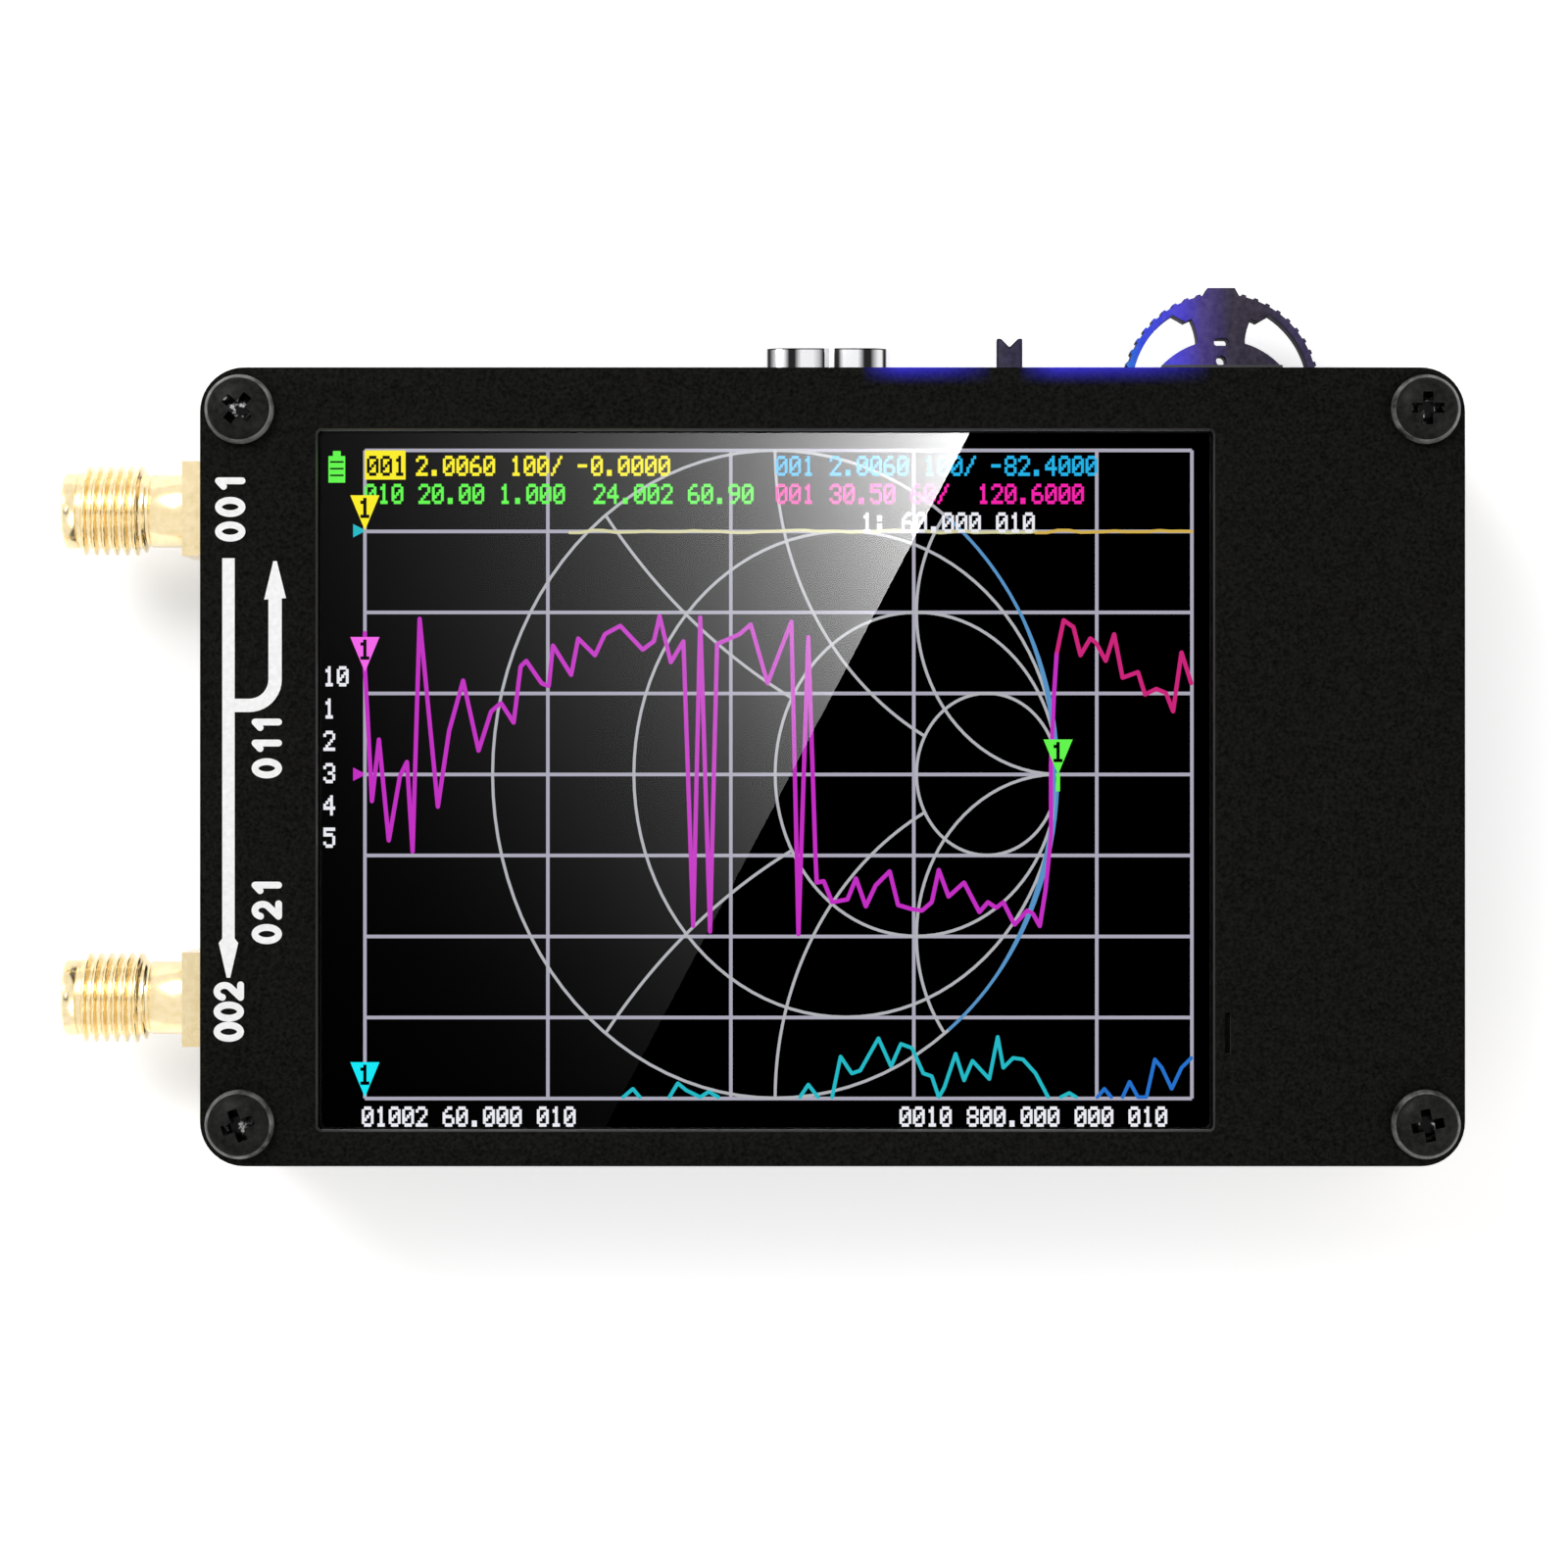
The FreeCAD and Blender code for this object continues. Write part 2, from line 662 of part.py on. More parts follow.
def usb_contacts():
    face_y, z0, z1 = tongue_sizes()
    first_x = USB_X - (PAD_COUNT - 1) * PAD_PITCH / 2
    y1 = face_y + TONGUE_L - 0.9
    pads = []
    for k in range(PAD_COUNT):
        x = first_x + k * PAD_PITCH
        pads.append(block(x - PAD_W / 2, x + PAD_W / 2, y1 - PAD_L, y1, z1, z1 + PAD_T))
        pads.append(block(x - PAD_W / 2, x + PAD_W / 2, y1 - PAD_L, y1, z0 - PAD_T, z0))
    return group(pads)


# Slide switch

def power_switch_frame():
    """A folded steel shell with a slot for the knob."""
    back = SWITCH_FRONT_Y - SWITCH_D
    x0 = SWITCH_X - SWITCH_W / 2
    x1 = SWITCH_X + SWITCH_W / 2
    shell = block(x0, x1, back, SWITCH_FRONT_Y, Z_BOARD - SWITCH_H, Z_BOARD)
    inner = block(
        x0 + SWITCH_WALL, x1 - SWITCH_WALL, back + SWITCH_WALL, SWITCH_FRONT_Y - SWITCH_WALL,
        Z_BOARD - SWITCH_H + SWITCH_WALL, Z_BOARD,
    )
    half_slot = (KNOB_W + KNOB_TRAVEL) / 2 + SLIDE_GAP
    slot = block(
        SWITCH_X - half_slot, SWITCH_X + half_slot, SWITCH_FRONT_Y - SWITCH_WALL, SWITCH_FRONT_Y,
        Z_BOARD - SWITCH_H + SWITCH_WALL, Z_BOARD,
    )
    return shell.cut([inner, slot])


def power_switch_base():
    """The thin insulating plate that closes the shell against the board."""
    back = SWITCH_FRONT_Y - SWITCH_D + SWITCH_WALL
    half_w = SWITCH_W / 2 - SWITCH_WALL
    slider_top = Z_BOARD - SWITCH_H + SWITCH_WALL + SLIDE_GAP + SLIDER_T
    return block(
        SWITCH_X - half_w, SWITCH_X + half_w, back, SWITCH_FRONT_Y - SWITCH_WALL,
        slider_top + SLIDE_GAP, Z_BOARD,
    )


def power_switch_knob():
    """The slider and its handle, at the end of its travel next to the USB-C socket."""
    x = SWITCH_X - KNOB_TRAVEL / 2
    z0 = Z_BOARD - SWITCH_H + SWITCH_WALL + SLIDE_GAP
    back = SWITCH_FRONT_Y - SWITCH_D + SWITCH_WALL + SLIDE_GAP
    front = SWITCH_FRONT_Y - SWITCH_WALL - SLIDE_GAP
    slider = block(x - SLIDER_W / 2, x + SLIDER_W / 2, back, front, z0, z0 + SLIDER_T)
    handle = block(x - KNOB_W / 2, x + KNOB_W / 2, front, KNOB_TIP_Y, z0, z0 + KNOB_T)
    notch = Part.makePolygon([
        Vector(x - KNOB_NOTCH, KNOB_TIP_Y, z0),
        Vector(x, KNOB_TIP_Y - KNOB_NOTCH, z0),
        Vector(x + KNOB_NOTCH, KNOB_TIP_Y, z0),
        Vector(x - KNOB_NOTCH, KNOB_TIP_Y, z0),
    ])
    return joined(slider, handle).cut(Part.Face(notch).extrude(Vector(0, 0, SLIDER_T)))


# Jog lever and its switch

def at_angle(radius, degrees, centre_y):
    a = math.radians(degrees)
    return Vector(JOG_X + radius * math.cos(a), centre_y + radius * math.sin(a), 0)


def rim_tooth(degrees):
    """One grip tooth, tapered towards its tip, at an angle round the rim's own centre."""
    centre_y = JOG_Y + RIM_OFFSET
    root = RIM_R - RIM_T / 2
    corners = [
        at_angle(root, degrees - TOOTH_HALF_DEG, centre_y),
        at_angle(RIM_R + TOOTH_H, degrees - TOOTH_TIP_HALF_DEG, centre_y),
        at_angle(RIM_R + TOOTH_H, degrees + TOOTH_TIP_HALF_DEG, centre_y),
        at_angle(root, degrees + TOOTH_HALF_DEG, centre_y),
    ]
    return flat_shape(Part.makePolygon(corners + corners[:1]).Edges, LEVER_BOTTOM, LEVER_T)


def lever_rim():
    """The crescent rim: a ring about a centre ahead of the pivot, kept where it stands clear of the hub."""
    centre = Vector(JOG_X, JOG_Y + RIM_OFFSET, LEVER_BOTTOM)
    ring = Part.makeCylinder(RIM_R, LEVER_T, centre).cut(Part.makeCylinder(RIM_R - RIM_T, LEVER_T, centre))
    ahead = block(JOG_X - 2 * RIM_R, JOG_X + 2 * RIM_R, JOG_Y, JOG_Y + 3 * RIM_R, LEVER_BOTTOM, LEVER_TOP)
    return ring.common(ahead)


def lever_shoulders():
    """The thicker middle stretch of the rim, which ends in a small lobe each side of the spoke."""
    centre_y = JOG_Y + RIM_OFFSET
    outer = RIM_R - RIM_T / 2
    inner = RIM_R - SHOULDER_T
    low = 90 - SHOULDER_HALF_DEG
    high = 90 + SHOULDER_HALF_DEG
    edges = [
        Part.Arc(*[at_angle(outer, a, centre_y) for a in (low, 90, high)]).toShape(),
        Part.makeLine(at_angle(outer, high, centre_y), at_angle(inner, high - 6, centre_y)),
        Part.Arc(*[at_angle(inner, a, centre_y) for a in (high - 6, 90, low + 6)]).toShape(),
        Part.makeLine(at_angle(inner, low + 6, centre_y), at_angle(outer, low, centre_y)),
    ]
    return flat_shape(edges, LEVER_BOTTOM, LEVER_T)


def lever_eyes():
    """A round eye through the hub's nose and a small slot through the spoke's waist."""
    eye = Part.makeCylinder(EYE_R, LEVER_T, Vector(JOG_X, EYE_Y, LEVER_BOTTOM))
    half = SLOT_EYE_W / 2
    y0 = SLOT_EYE_Y - SLOT_EYE_H / 2
    slot = slab(JOG_X - half, JOG_X + half, y0, y0 + SLOT_EYE_H, LEVER_BOTTOM, LEVER_TOP, SLOT_EYE_H * 0.4)
    return [eye, slot]


def lever_spoke():
    """The waisted spoke from the hub to the middle of the rim."""
    waist_y = JOG_Y + HUB_OFFSET + HUB_R
    foot_y = waist_y - HUB_R / 5
    head_y = JOG_Y + RIM_OFFSET + RIM_R - SHOULDER_T
    rim_y = JOG_Y + RIM_OFFSET + RIM_R - RIM_T
    half_rim = SPOKE_RIM_W / 2
    half_waist = SPOKE_WAIST_W / 2
    bend_y = (waist_y + head_y) / 2
    half_bend = half_waist + SPOKE_FLARE
    edges = []
    for side in (-1, 1):
        foot = Vector(JOG_X + side * half_waist, foot_y, 0)
        waist = Vector(JOG_X + side * half_waist, waist_y, 0)
        bend = Vector(JOG_X + side * half_bend, bend_y, 0)
        head = Vector(JOG_X + side * half_rim, head_y, 0)
        top = Vector(JOG_X + side * half_rim, rim_y, 0)
        edges += [Part.makeLine(foot, waist), Part.Arc(waist, bend, head).toShape(), Part.makeLine(head, top)]
    edges.append(Part.makeLine(edges[0].Vertexes[0].Point, edges[3].Vertexes[0].Point))
    edges.append(Part.makeLine(edges[2].Vertexes[-1].Point, edges[5].Vertexes[-1].Point))
    return flat_shape(edges, LEVER_BOTTOM, LEVER_T)


def thumb_pad():
    """The flat-topped pad in the middle of the rim, wider at its foot."""
    rim_top = JOG_Y + RIM_OFFSET + RIM_R
    corners = [
        Vector(JOG_X - THUMB_PAD_FOOT_W / 2, rim_top - RIM_T, 0),
        Vector(JOG_X + THUMB_PAD_FOOT_W / 2, rim_top - RIM_T, 0),
        Vector(JOG_X + THUMB_PAD_W / 2, rim_top + THUMB_PAD_H, 0),
        Vector(JOG_X - THUMB_PAD_W / 2, rim_top + THUMB_PAD_H, 0),
    ]
    return flat_shape(Part.makePolygon(corners + corners[:1]).Edges, LEVER_BOTTOM, LEVER_T)


def jog_lever():
    """The lever: hub, waisted spoke, toothed crescent rim with a thumb pad, and the tail that works the switch."""
    bore = Part.makeCylinder(PIVOT_R + PIVOT_CLEARANCE, LEVER_T, Vector(JOG_X, JOG_Y, LEVER_BOTTOM))
    hub = Part.makeCylinder(HUB_R, LEVER_T, Vector(JOG_X, JOG_Y + HUB_OFFSET, LEVER_BOTTOM))
    behind = block(
        JOG_X - HUB_R, JOG_X + HUB_R, JOG_Y - HUB_R, JOG_Y - HUB_CUT, LEVER_BOTTOM, LEVER_TOP,
    )
    tail = block(
        JOG_X - TAIL_HALF_W, JOG_X + TAIL_HALF_W, JOG_Y - LEVER_TAIL_L, JOG_Y - HUB_CUT,
        LEVER_BOTTOM, LEVER_TOP,
    )
    teeth = []
    for k in range(TOOTH_COUNT):
        away = TOOTH_FIRST_DEG + k * TOOTH_PITCH_DEG
        teeth.append(rim_tooth(90 - away))
        teeth.append(rim_tooth(90 + away))
    lever = joined(hub.cut(behind), lever_rim(), lever_shoulders(), lever_spoke(), thumb_pad(), tail, *teeth)
    return lever.cut([bore, *lever_eyes()])


def jog_base():
    """The switch's moulded floor under the board, with a rear wall and two short side walls."""
    z_floor = Z_BOARD - JOG_BASE_T
    z_low = LEVER_BOTTOM - CARRIAGE_GAP - CARRIAGE_T - CARRIAGE_GAP
    left = JOG_X - JOG_HALF_W
    right = JOG_X + JOG_HALF_W
    floor = block(left, right, JOG_REAR_Y, JOG_FRONT_Y, z_floor, Z_BOARD)
    lip = block(JOG_X - JOG_LIP_HALF_W, JOG_X + JOG_LIP_HALF_W, JOG_FRONT_Y, JOG_LIP_Y, z_floor, Z_BOARD)
    rear = block(left, right, JOG_REAR_Y, JOG_REAR_Y + JOG_WALL, z_low, z_floor)
    west = block(left, left + JOG_WALL, JOG_REAR_Y, JOG_WALL_END_Y, z_low, z_floor)
    east = block(right - JOG_WALL, right, JOG_REAR_Y, JOG_WALL_END_Y, z_low, z_floor)
    return joined(floor, lip, rear, west, east)


def jog_cover():
    """The steel cover: a flat plate under the carriage with two side flanges and a back flange up to the board."""
    z_high = LEVER_BOTTOM - CARRIAGE_GAP - CARRIAGE_T - CARRIAGE_GAP
    z_low = z_high - JOG_COVER_T
    left = JOG_X - JOG_HALF_W
    right = JOG_X + JOG_HALF_W
    back = JOG_REAR_Y - JOG_COVER_T
    plate_low = slab(left - JOG_COVER_T, right + JOG_COVER_T, back, JOG_FRONT_Y, z_low, z_high, JOG_COVER_T / 2)
    west = block(left - JOG_COVER_T, left, back, JOG_WALL_END_Y, z_low, Z_BOARD)
    east = block(right, right + JOG_COVER_T, back, JOG_WALL_END_Y, z_low, Z_BOARD)
    rear = block(left - JOG_COVER_T, right + JOG_COVER_T, back, JOG_REAR_Y, z_low, Z_BOARD)
    return joined(plate_low, west, east, rear)


def jog_carriage():
    """The sliding plate that carries the pivot pin, the lever's two stops and the plunger for the click dome."""
    z_high = LEVER_BOTTOM - CARRIAGE_GAP
    z_low = z_high - CARRIAGE_T
    plunger_y = JOG_REAR_Y + JOG_WALL + DOME_H + JOG_PUSH + CARRIAGE_GAP
    left = JOG_X - CARRIAGE_HALF_W
    right = JOG_X + CARRIAGE_HALF_W
    bed = slab(left, right, plunger_y, JOG_FRONT_Y - JOG_PUSH, z_low, z_high, 1.0)
    plunger = block(JOG_X - DOME_R, JOG_X + DOME_R, plunger_y, plunger_y + CHEEK_W, z_low, LEVER_TOP)
    swing = math.radians(JOG_SWING)
    stop_x = TAIL_HALF_W * math.cos(swing) + LEVER_TAIL_L * math.sin(swing) + CARRIAGE_GAP
    stop_y = JOG_Y - LEVER_TAIL_L
    cheeks = []
    for x0 in (JOG_X + stop_x, JOG_X - stop_x - CHEEK_W):
        cheeks.append(block(x0, x0 + CHEEK_W, stop_y - CHEEK_W / 2, stop_y + CHEEK_W / 2, z_low, LEVER_TOP))
    hole = Part.makeCylinder(PIVOT_R, CARRIAGE_T, Vector(JOG_X, JOG_Y, z_low))
    return joined(bed, plunger, *cheeks).cut(hole)


def jog_pivot_pin():
    z_low = LEVER_BOTTOM - CARRIAGE_GAP - CARRIAGE_T
    return Part.makeCylinder(PIVOT_R, LEVER_TOP - z_low, Vector(JOG_X, JOG_Y, z_low))


def jog_click_dome():
    """A shallow sprung steel cap on the rear wall, crown towards the plunger."""
    wall_y = JOG_REAR_Y + JOG_WALL
    z = (LEVER_TOP + LEVER_BOTTOM) / 2
    ball_r = (DOME_R**2 + DOME_H**2) / (2 * DOME_H)
    centre = Vector(JOG_X, wall_y + DOME_H - ball_r, z)
    cap = Part.makeSphere(ball_r, centre).cut(Part.makeSphere(ball_r - DOME_T, centre))
    ahead = block(JOG_X - DOME_R, JOG_X + DOME_R, wall_y, wall_y + DOME_H, z - DOME_R, z + DOME_R)
    return cap.common(ahead)


# Parts on the board's rear side

def hanging(x, y, w, h, drop, corner_r=0.0):
    """A body w by h soldered under the board, reaching down by drop."""
    edges = (x - w / 2, x + w / 2, y - h / 2, y + h / 2, Z_BOARD - drop, Z_BOARD)
    return slab(*edges, corner_r) if corner_r else block(*edges)


def rf_shields():
    cans = []
    for y in SHIELD_YS:
        can = hanging(SHIELD_X, y, SHIELD_W, SHIELD_H, SHIELD_DROP)
        inner_w = SHIELD_W - 2 * SHIELD_WALL
        inner_h = SHIELD_H - 2 * SHIELD_WALL
        cans.append(can.cut(hanging(SHIELD_X, y, inner_w, inner_h, SHIELD_DROP - SHIELD_WALL)))
    return group(cans)


def mixer_chips():
    return group([hanging(SHIELD_X, y, MIXER_W, MIXER_H, MIXER_DROP) for y in SHIELD_YS])


def leaded_chip(x, y, side, drop, lead_count, pitch, four_sided):
    """A square moulded chip with a row of flat leads on two or four sides."""
    half = side / 2
    z0 = Z_BOARD - CHIP_LEAD_T
    pieces = [block(x - half, x + half, y - half, y + half, Z_BOARD - drop, Z_BOARD - CHIP_STANDOFF)]
    for k in range(lead_count):
        middle = (k - (lead_count - 1) / 2) * pitch
        low = middle - pitch / 4
        high = middle + pitch / 4
        for inner in (half, -half - CHIP_LEAD_OUT):
            outer = inner + CHIP_LEAD_OUT
            pieces.append(block(x + inner, x + outer, y + low, y + high, z0, Z_BOARD))
            if four_sided:
                pieces.append(block(x + low, x + high, y + inner, y + outer, z0, Z_BOARD))
    return group(pieces)


def microcontroller():
    return leaded_chip(
        CONTROLLER_X, CONTROLLER_Y, CONTROLLER_SIDE, CONTROLLER_DROP, CONTROLLER_LEAD_COUNT,
        CONTROLLER_PITCH, True,
    )


def synthesizer_chip():
    return leaded_chip(
        SYNTHESIZER_X, SYNTHESIZER_Y, SYNTHESIZER_SIDE, SYNTHESIZER_DROP, SYNTHESIZER_LEAD_COUNT,
        SYNTHESIZER_PITCH, False,
    )


def charger_chip():
    return leaded_chip(
        CHARGER_X, CHARGER_Y, CHARGER_SIDE, CHARGER_DROP, CHARGER_LEAD_COUNT, CHARGER_PITCH, False,
    )


def codec_chip():
    return hanging(CODEC_X, CODEC_Y, CODEC_SIDE, CODEC_SIDE, CODEC_DROP)


def crystal():
    return hanging(CRYSTAL_X, CRYSTAL_Y, CRYSTAL_W, CRYSTAL_H, CRYSTAL_DROP)


def inductor():
    return hanging(INDUCTOR_X, INDUCTOR_Y, INDUCTOR_SIDE, INDUCTOR_SIDE, INDUCTOR_DROP, INDUCTOR_CORNER_R)


def status_leds():
    return group([hanging(x, LED_Y, LED_W, LED_H, LED_DROP) for x in LED_XS])


def board_passives():
    """Rows of small resistors and capacitors, each standing across its row."""
    pieces = []
    for x0, y, count in PASSIVE_ROWS:
        for k in range(round(count)):
            pieces.append(hanging(x0 + k * PASSIVE_PITCH, y, PASSIVE_W, PASSIVE_H, PASSIVE_DROP))
    return group(pieces)


# Battery and its leads

def battery():
    x1 = BATTERY_LEFT + BATTERY_W
    y1 = BATTERY_BOTTOM + BATTERY_H
    z0 = Z_BACK_TOP + BATTERY_TAPE_T
    plain = block(BATTERY_LEFT, x1, BATTERY_BOTTOM, y1, z0, z0 + BATTERY_T)
    along = [e for e in plain.Edges if abs(e.Vertexes[0].Y - e.Vertexes[1].Y) > 1e-6]
    return plain.makeFillet(BATTERY_CORNER_R, along)


def battery_tape():
    inset = BATTERY_CORNER_R + 1.0
    return block(
        BATTERY_LEFT + inset, BATTERY_LEFT + BATTERY_W - inset,
        BATTERY_BOTTOM + inset, BATTERY_BOTTOM + BATTERY_H - inset,
        Z_BACK_TOP, Z_BACK_TOP + BATTERY_TAPE_T,
    )


def battery_socket():
    """A side-entry socket under the board, open towards the battery's leads."""
    half_w = PLUG_W / 2 + FIT_GAP + SOCKET_WALL
    z0 = PLUG_Z - PLUG_H / 2 - FIT_GAP - SOCKET_WALL
    y0 = PLUG_FACE_Y + 0.8
    shell = block(PLUG_X - half_w, PLUG_X + half_w, y0, y0 + SOCKET_L, z0, Z_BOARD)
    pocket = block(
        PLUG_X - PLUG_W / 2 - FIT_GAP, PLUG_X + PLUG_W / 2 + FIT_GAP, y0, PLUG_FACE_Y + PLUG_L,
        PLUG_Z - PLUG_H / 2 - FIT_GAP, PLUG_Z + PLUG_H / 2 + FIT_GAP,
    )
    return shell.cut(pocket)


def battery_plug():
    return block(
        PLUG_X - PLUG_W / 2, PLUG_X + PLUG_W / 2, PLUG_FACE_Y, PLUG_FACE_Y + PLUG_L,
        PLUG_Z - PLUG_H / 2, PLUG_Z + PLUG_H / 2,
    )


# Route of the outer and inner lead from the battery's edge to the plug, as (x, y) points
OUTER_LEAD = ((-16.0, None), (-19.5, -3.6), (None, 1.0))
INNER_LEAD = ((-15.3, None), (-18.4, -2.5), (None, 1.4))


def battery_lead(side, route):
    start_y = LEAD_START_Y - side * LEAD_START_PITCH / 2
    end_x = PLUG_X - side * LEAD_PITCH / 2
    points = [Vector(BATTERY_LEFT, start_y, PLUG_Z)]
    for x, y in route:
        points.append(Vector(end_x if x is None else x, start_y if y is None else y, PLUG_Z))
    points.append(Vector(end_x, PLUG_FACE_Y, PLUG_Z))
    return tube_along(points, LEAD_WIRE_R)


NODES = {
    "front_panel": front_panel,
    "back_panel": lambda: plate(Z_BACK),
    "main_board": main_board,
    "front_screws": front_screws,
    "back_screws": back_screws,
    "front_standoffs": front_standoffs,
    "back_standoffs": back_standoffs,
    "lcd_foam_pads": lcd_foam_pads,
    "lcd_tray": lcd_tray,
    "backlight_guide": backlight_guide,
    "lcd_cell": lcd_cell,
    "touch_panel": touch_panel,
    "lcd_flex": lcd_flex,
    "usb_shell": usb_shell,
    "usb_tongue": usb_tongue,
    "usb_contacts": usb_contacts,
    "power_switch_frame": power_switch_frame,
    "power_switch_base": power_switch_base,
    "power_switch_knob": power_switch_knob,
    "jog_base": jog_base,
    "jog_cover": jog_cover,
    "jog_carriage": jog_carriage,
    "jog_pivot_pin": jog_pivot_pin,
    "jog_click_dome": jog_click_dome,
    "jog_lever": jog_lever,
    "rf_shields": rf_shields,
    "mixer_chips": mixer_chips,
    "microcontroller": microcontroller,
    "synthesizer_chip": synthesizer_chip,
    "codec_chip": codec_chip,
    "crystal": crystal,
    "charger_chip": charger_chip,
    "inductor": inductor,
    "status_leds": status_leds,
    "board_passives": board_passives,
    "battery": battery,
    "battery_tape": battery_tape,
    "battery_socket": battery_socket,
    "battery_plug": battery_plug,
    "battery_lead_positive": lambda: battery_lead(1, OUTER_LEAD),
    "battery_lead_negative": lambda: battery_lead(-1, INNER_LEAD),
}

os.makedirs("parts", exist_ok=True)
for name, make in NODES.items():
    save(name, make())
for number, port_y in enumerate(PORT_YS, start=1):
    save(f"port_{number}_shell", port_shell(port_y))
    save(f"port_{number}_dielectric", port_dielectric(port_y))
    save(f"port_{number}_contact", port_contact(port_y))
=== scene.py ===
import json
import math
import random
import re

import bmesh
import bpy
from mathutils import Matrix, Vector, geometry


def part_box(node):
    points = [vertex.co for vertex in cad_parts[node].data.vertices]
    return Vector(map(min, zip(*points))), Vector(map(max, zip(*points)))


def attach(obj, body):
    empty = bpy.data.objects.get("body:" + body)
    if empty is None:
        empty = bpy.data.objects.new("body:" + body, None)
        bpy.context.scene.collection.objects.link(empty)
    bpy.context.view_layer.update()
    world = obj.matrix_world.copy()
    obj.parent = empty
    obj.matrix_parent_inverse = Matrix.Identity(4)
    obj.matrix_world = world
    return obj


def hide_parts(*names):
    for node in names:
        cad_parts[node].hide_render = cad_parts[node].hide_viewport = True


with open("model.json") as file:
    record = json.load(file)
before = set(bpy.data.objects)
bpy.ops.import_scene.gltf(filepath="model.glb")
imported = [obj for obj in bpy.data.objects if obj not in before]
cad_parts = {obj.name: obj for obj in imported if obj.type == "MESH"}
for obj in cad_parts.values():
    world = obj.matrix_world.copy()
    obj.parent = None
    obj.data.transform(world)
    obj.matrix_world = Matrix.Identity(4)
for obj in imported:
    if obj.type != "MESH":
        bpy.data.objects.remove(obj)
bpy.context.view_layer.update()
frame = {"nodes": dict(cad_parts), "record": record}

# A pocket antenna analyzer lying on its back. Lengths are in metres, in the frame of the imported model:
# +X away from the coaxial ports, +Y towards the jog lever, +Z out of the display.

MM = 0.001

# The plate's centre and faces, which everything printed or shown is placed from
plate_low, plate_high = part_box("front_panel")
PLATE_X = (plate_low[0] + plate_high[0]) / 2
PLATE_Y = (plate_low[1] + plate_high[1]) / 2
PLATE_EDGE_Y = plate_high[1]
PLATE_TOP = plate_high[2]
CELL_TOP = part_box("lcd_cell")[1][2]
GLASS_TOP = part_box("touch_panel")[1][2]

# Camera: straight down over a point left of the plate's centre
CAMERA_OFFSET_X = -3.28 * MM
CAMERA_OFFSET_Y = -1.16 * MM
CAMERA_DISTANCE = 300 * MM
FIELD_WIDTH = 105.96 * MM
SENSOR_WIDTH = 36.0

# The display's picture is laid out in its own dots, from its top left corner, in layers one step apart
DOT = 0.1913 * MM
SCREEN_LEFT = PLATE_X - 34.72 * MM
SCREEN_TOP = PLATE_Y + 22.92 * MM
PICTURE_LIFT = 0.03 * MM
LAYER_STEP = 0.004 * MM

WHITE = (1.0, 1.0, 1.0, 1.0)
NONE = (0.0,) * 3
FULL = (1.0,) * 3


# Node material helpers

GLOSS_SPREAD = 0.06
SCRATCH_GRAIN = 900.0


def new_material(name):
    material = bpy.data.materials.new(name)
    material.use_nodes = True
    return material, material.node_tree, material.node_tree.nodes["Principled BSDF"]


def set_sockets(node, values):
    for name, value in values.items():
        node.inputs[name].default_value = value


def object_coordinates(tree):
    return tree.nodes.new("ShaderNodeTexCoord").outputs["Object"]


def noise(tree, scale, detail=3.0, roughness=0.55, vector=None):
    node = tree.nodes.new("ShaderNodeTexNoise")
    set_sockets(node, {"Scale": scale, "Detail": detail, "Roughness": roughness})
    tree.links.new(object_coordinates(tree) if vector is None else vector, node.inputs["Vector"])
    return node.outputs["Fac"]


def ramp(tree, source, stops):
    node = tree.nodes.new("ShaderNodeValToRGB")
    elements = node.color_ramp.elements
    while len(elements) < len(stops):
        elements.new(0.5)
    for element, (position, colour) in zip(elements, stops):
        element.position = position
        element.color = (*colour, 1.0)
    tree.links.new(source, node.inputs["Fac"])
    return node.outputs["Color"]


def bump(tree, shader, height, strength, distance):
    node = tree.nodes.new("ShaderNodeBump")
    set_sockets(node, {"Strength": strength, "Distance": distance})
    tree.links.new(height, node.inputs["Height"])
    tree.links.new(node.outputs["Normal"], shader.inputs["Normal"])


def map_range(tree, source, limits):
    node = tree.nodes.new("ShaderNodeMapRange")
    set_sockets(node, limits)
    tree.links.new(source, node.inputs["Value"])
    return node.outputs["Result"]


def spread(tree, source, low, high):
    return map_range(tree, source, {"To Min": low, "To Max": high})


def along(tree, axis, low, high):
    """0 to 1 from one place to another along an axis of the object's own coordinates."""
    split = tree.nodes.new("ShaderNodeSeparateXYZ")
    tree.links.new(object_coordinates(tree), split.inputs["Vector"])
    return map_range(tree, split.outputs[axis], {"From Min": low, "From Max": high})


def math_node(tree, operation, first, second):
    """The result of one operation on two outputs or plain numbers."""
    node = tree.nodes.new("ShaderNodeMath")
    node.operation = operation
    for socket, value in zip(node.inputs, (first, second)):
        if isinstance(value, (int, float)):
            socket.default_value = value
        else:
            tree.links.new(value, socket)
    return node.outputs["Value"]


def surface(name, dark, light, rough, metal=0.0, grain=2500.0, relief=0.15, depth=0.01 * MM, specular=0.5):
    """A finish with fine mottling between two colours, uneven gloss and a fine relief."""
    material, tree, shader = new_material(name)
    set_sockets(shader, {"Metallic": metal, "Specular IOR Level": specular})
    speckle = noise(tree, grain)
    cloud = noise(tree, grain / 12.0, 2.0)
    gloss = spread(tree, cloud, rough - GLOSS_SPREAD, rough + GLOSS_SPREAD)
    tree.links.new(ramp(tree, speckle, ((0.3, dark), (0.7, light))), shader.inputs["Base Color"])
    tree.links.new(gloss, shader.inputs["Roughness"])
    bump(tree, shader, speckle, relief, depth)
    return material


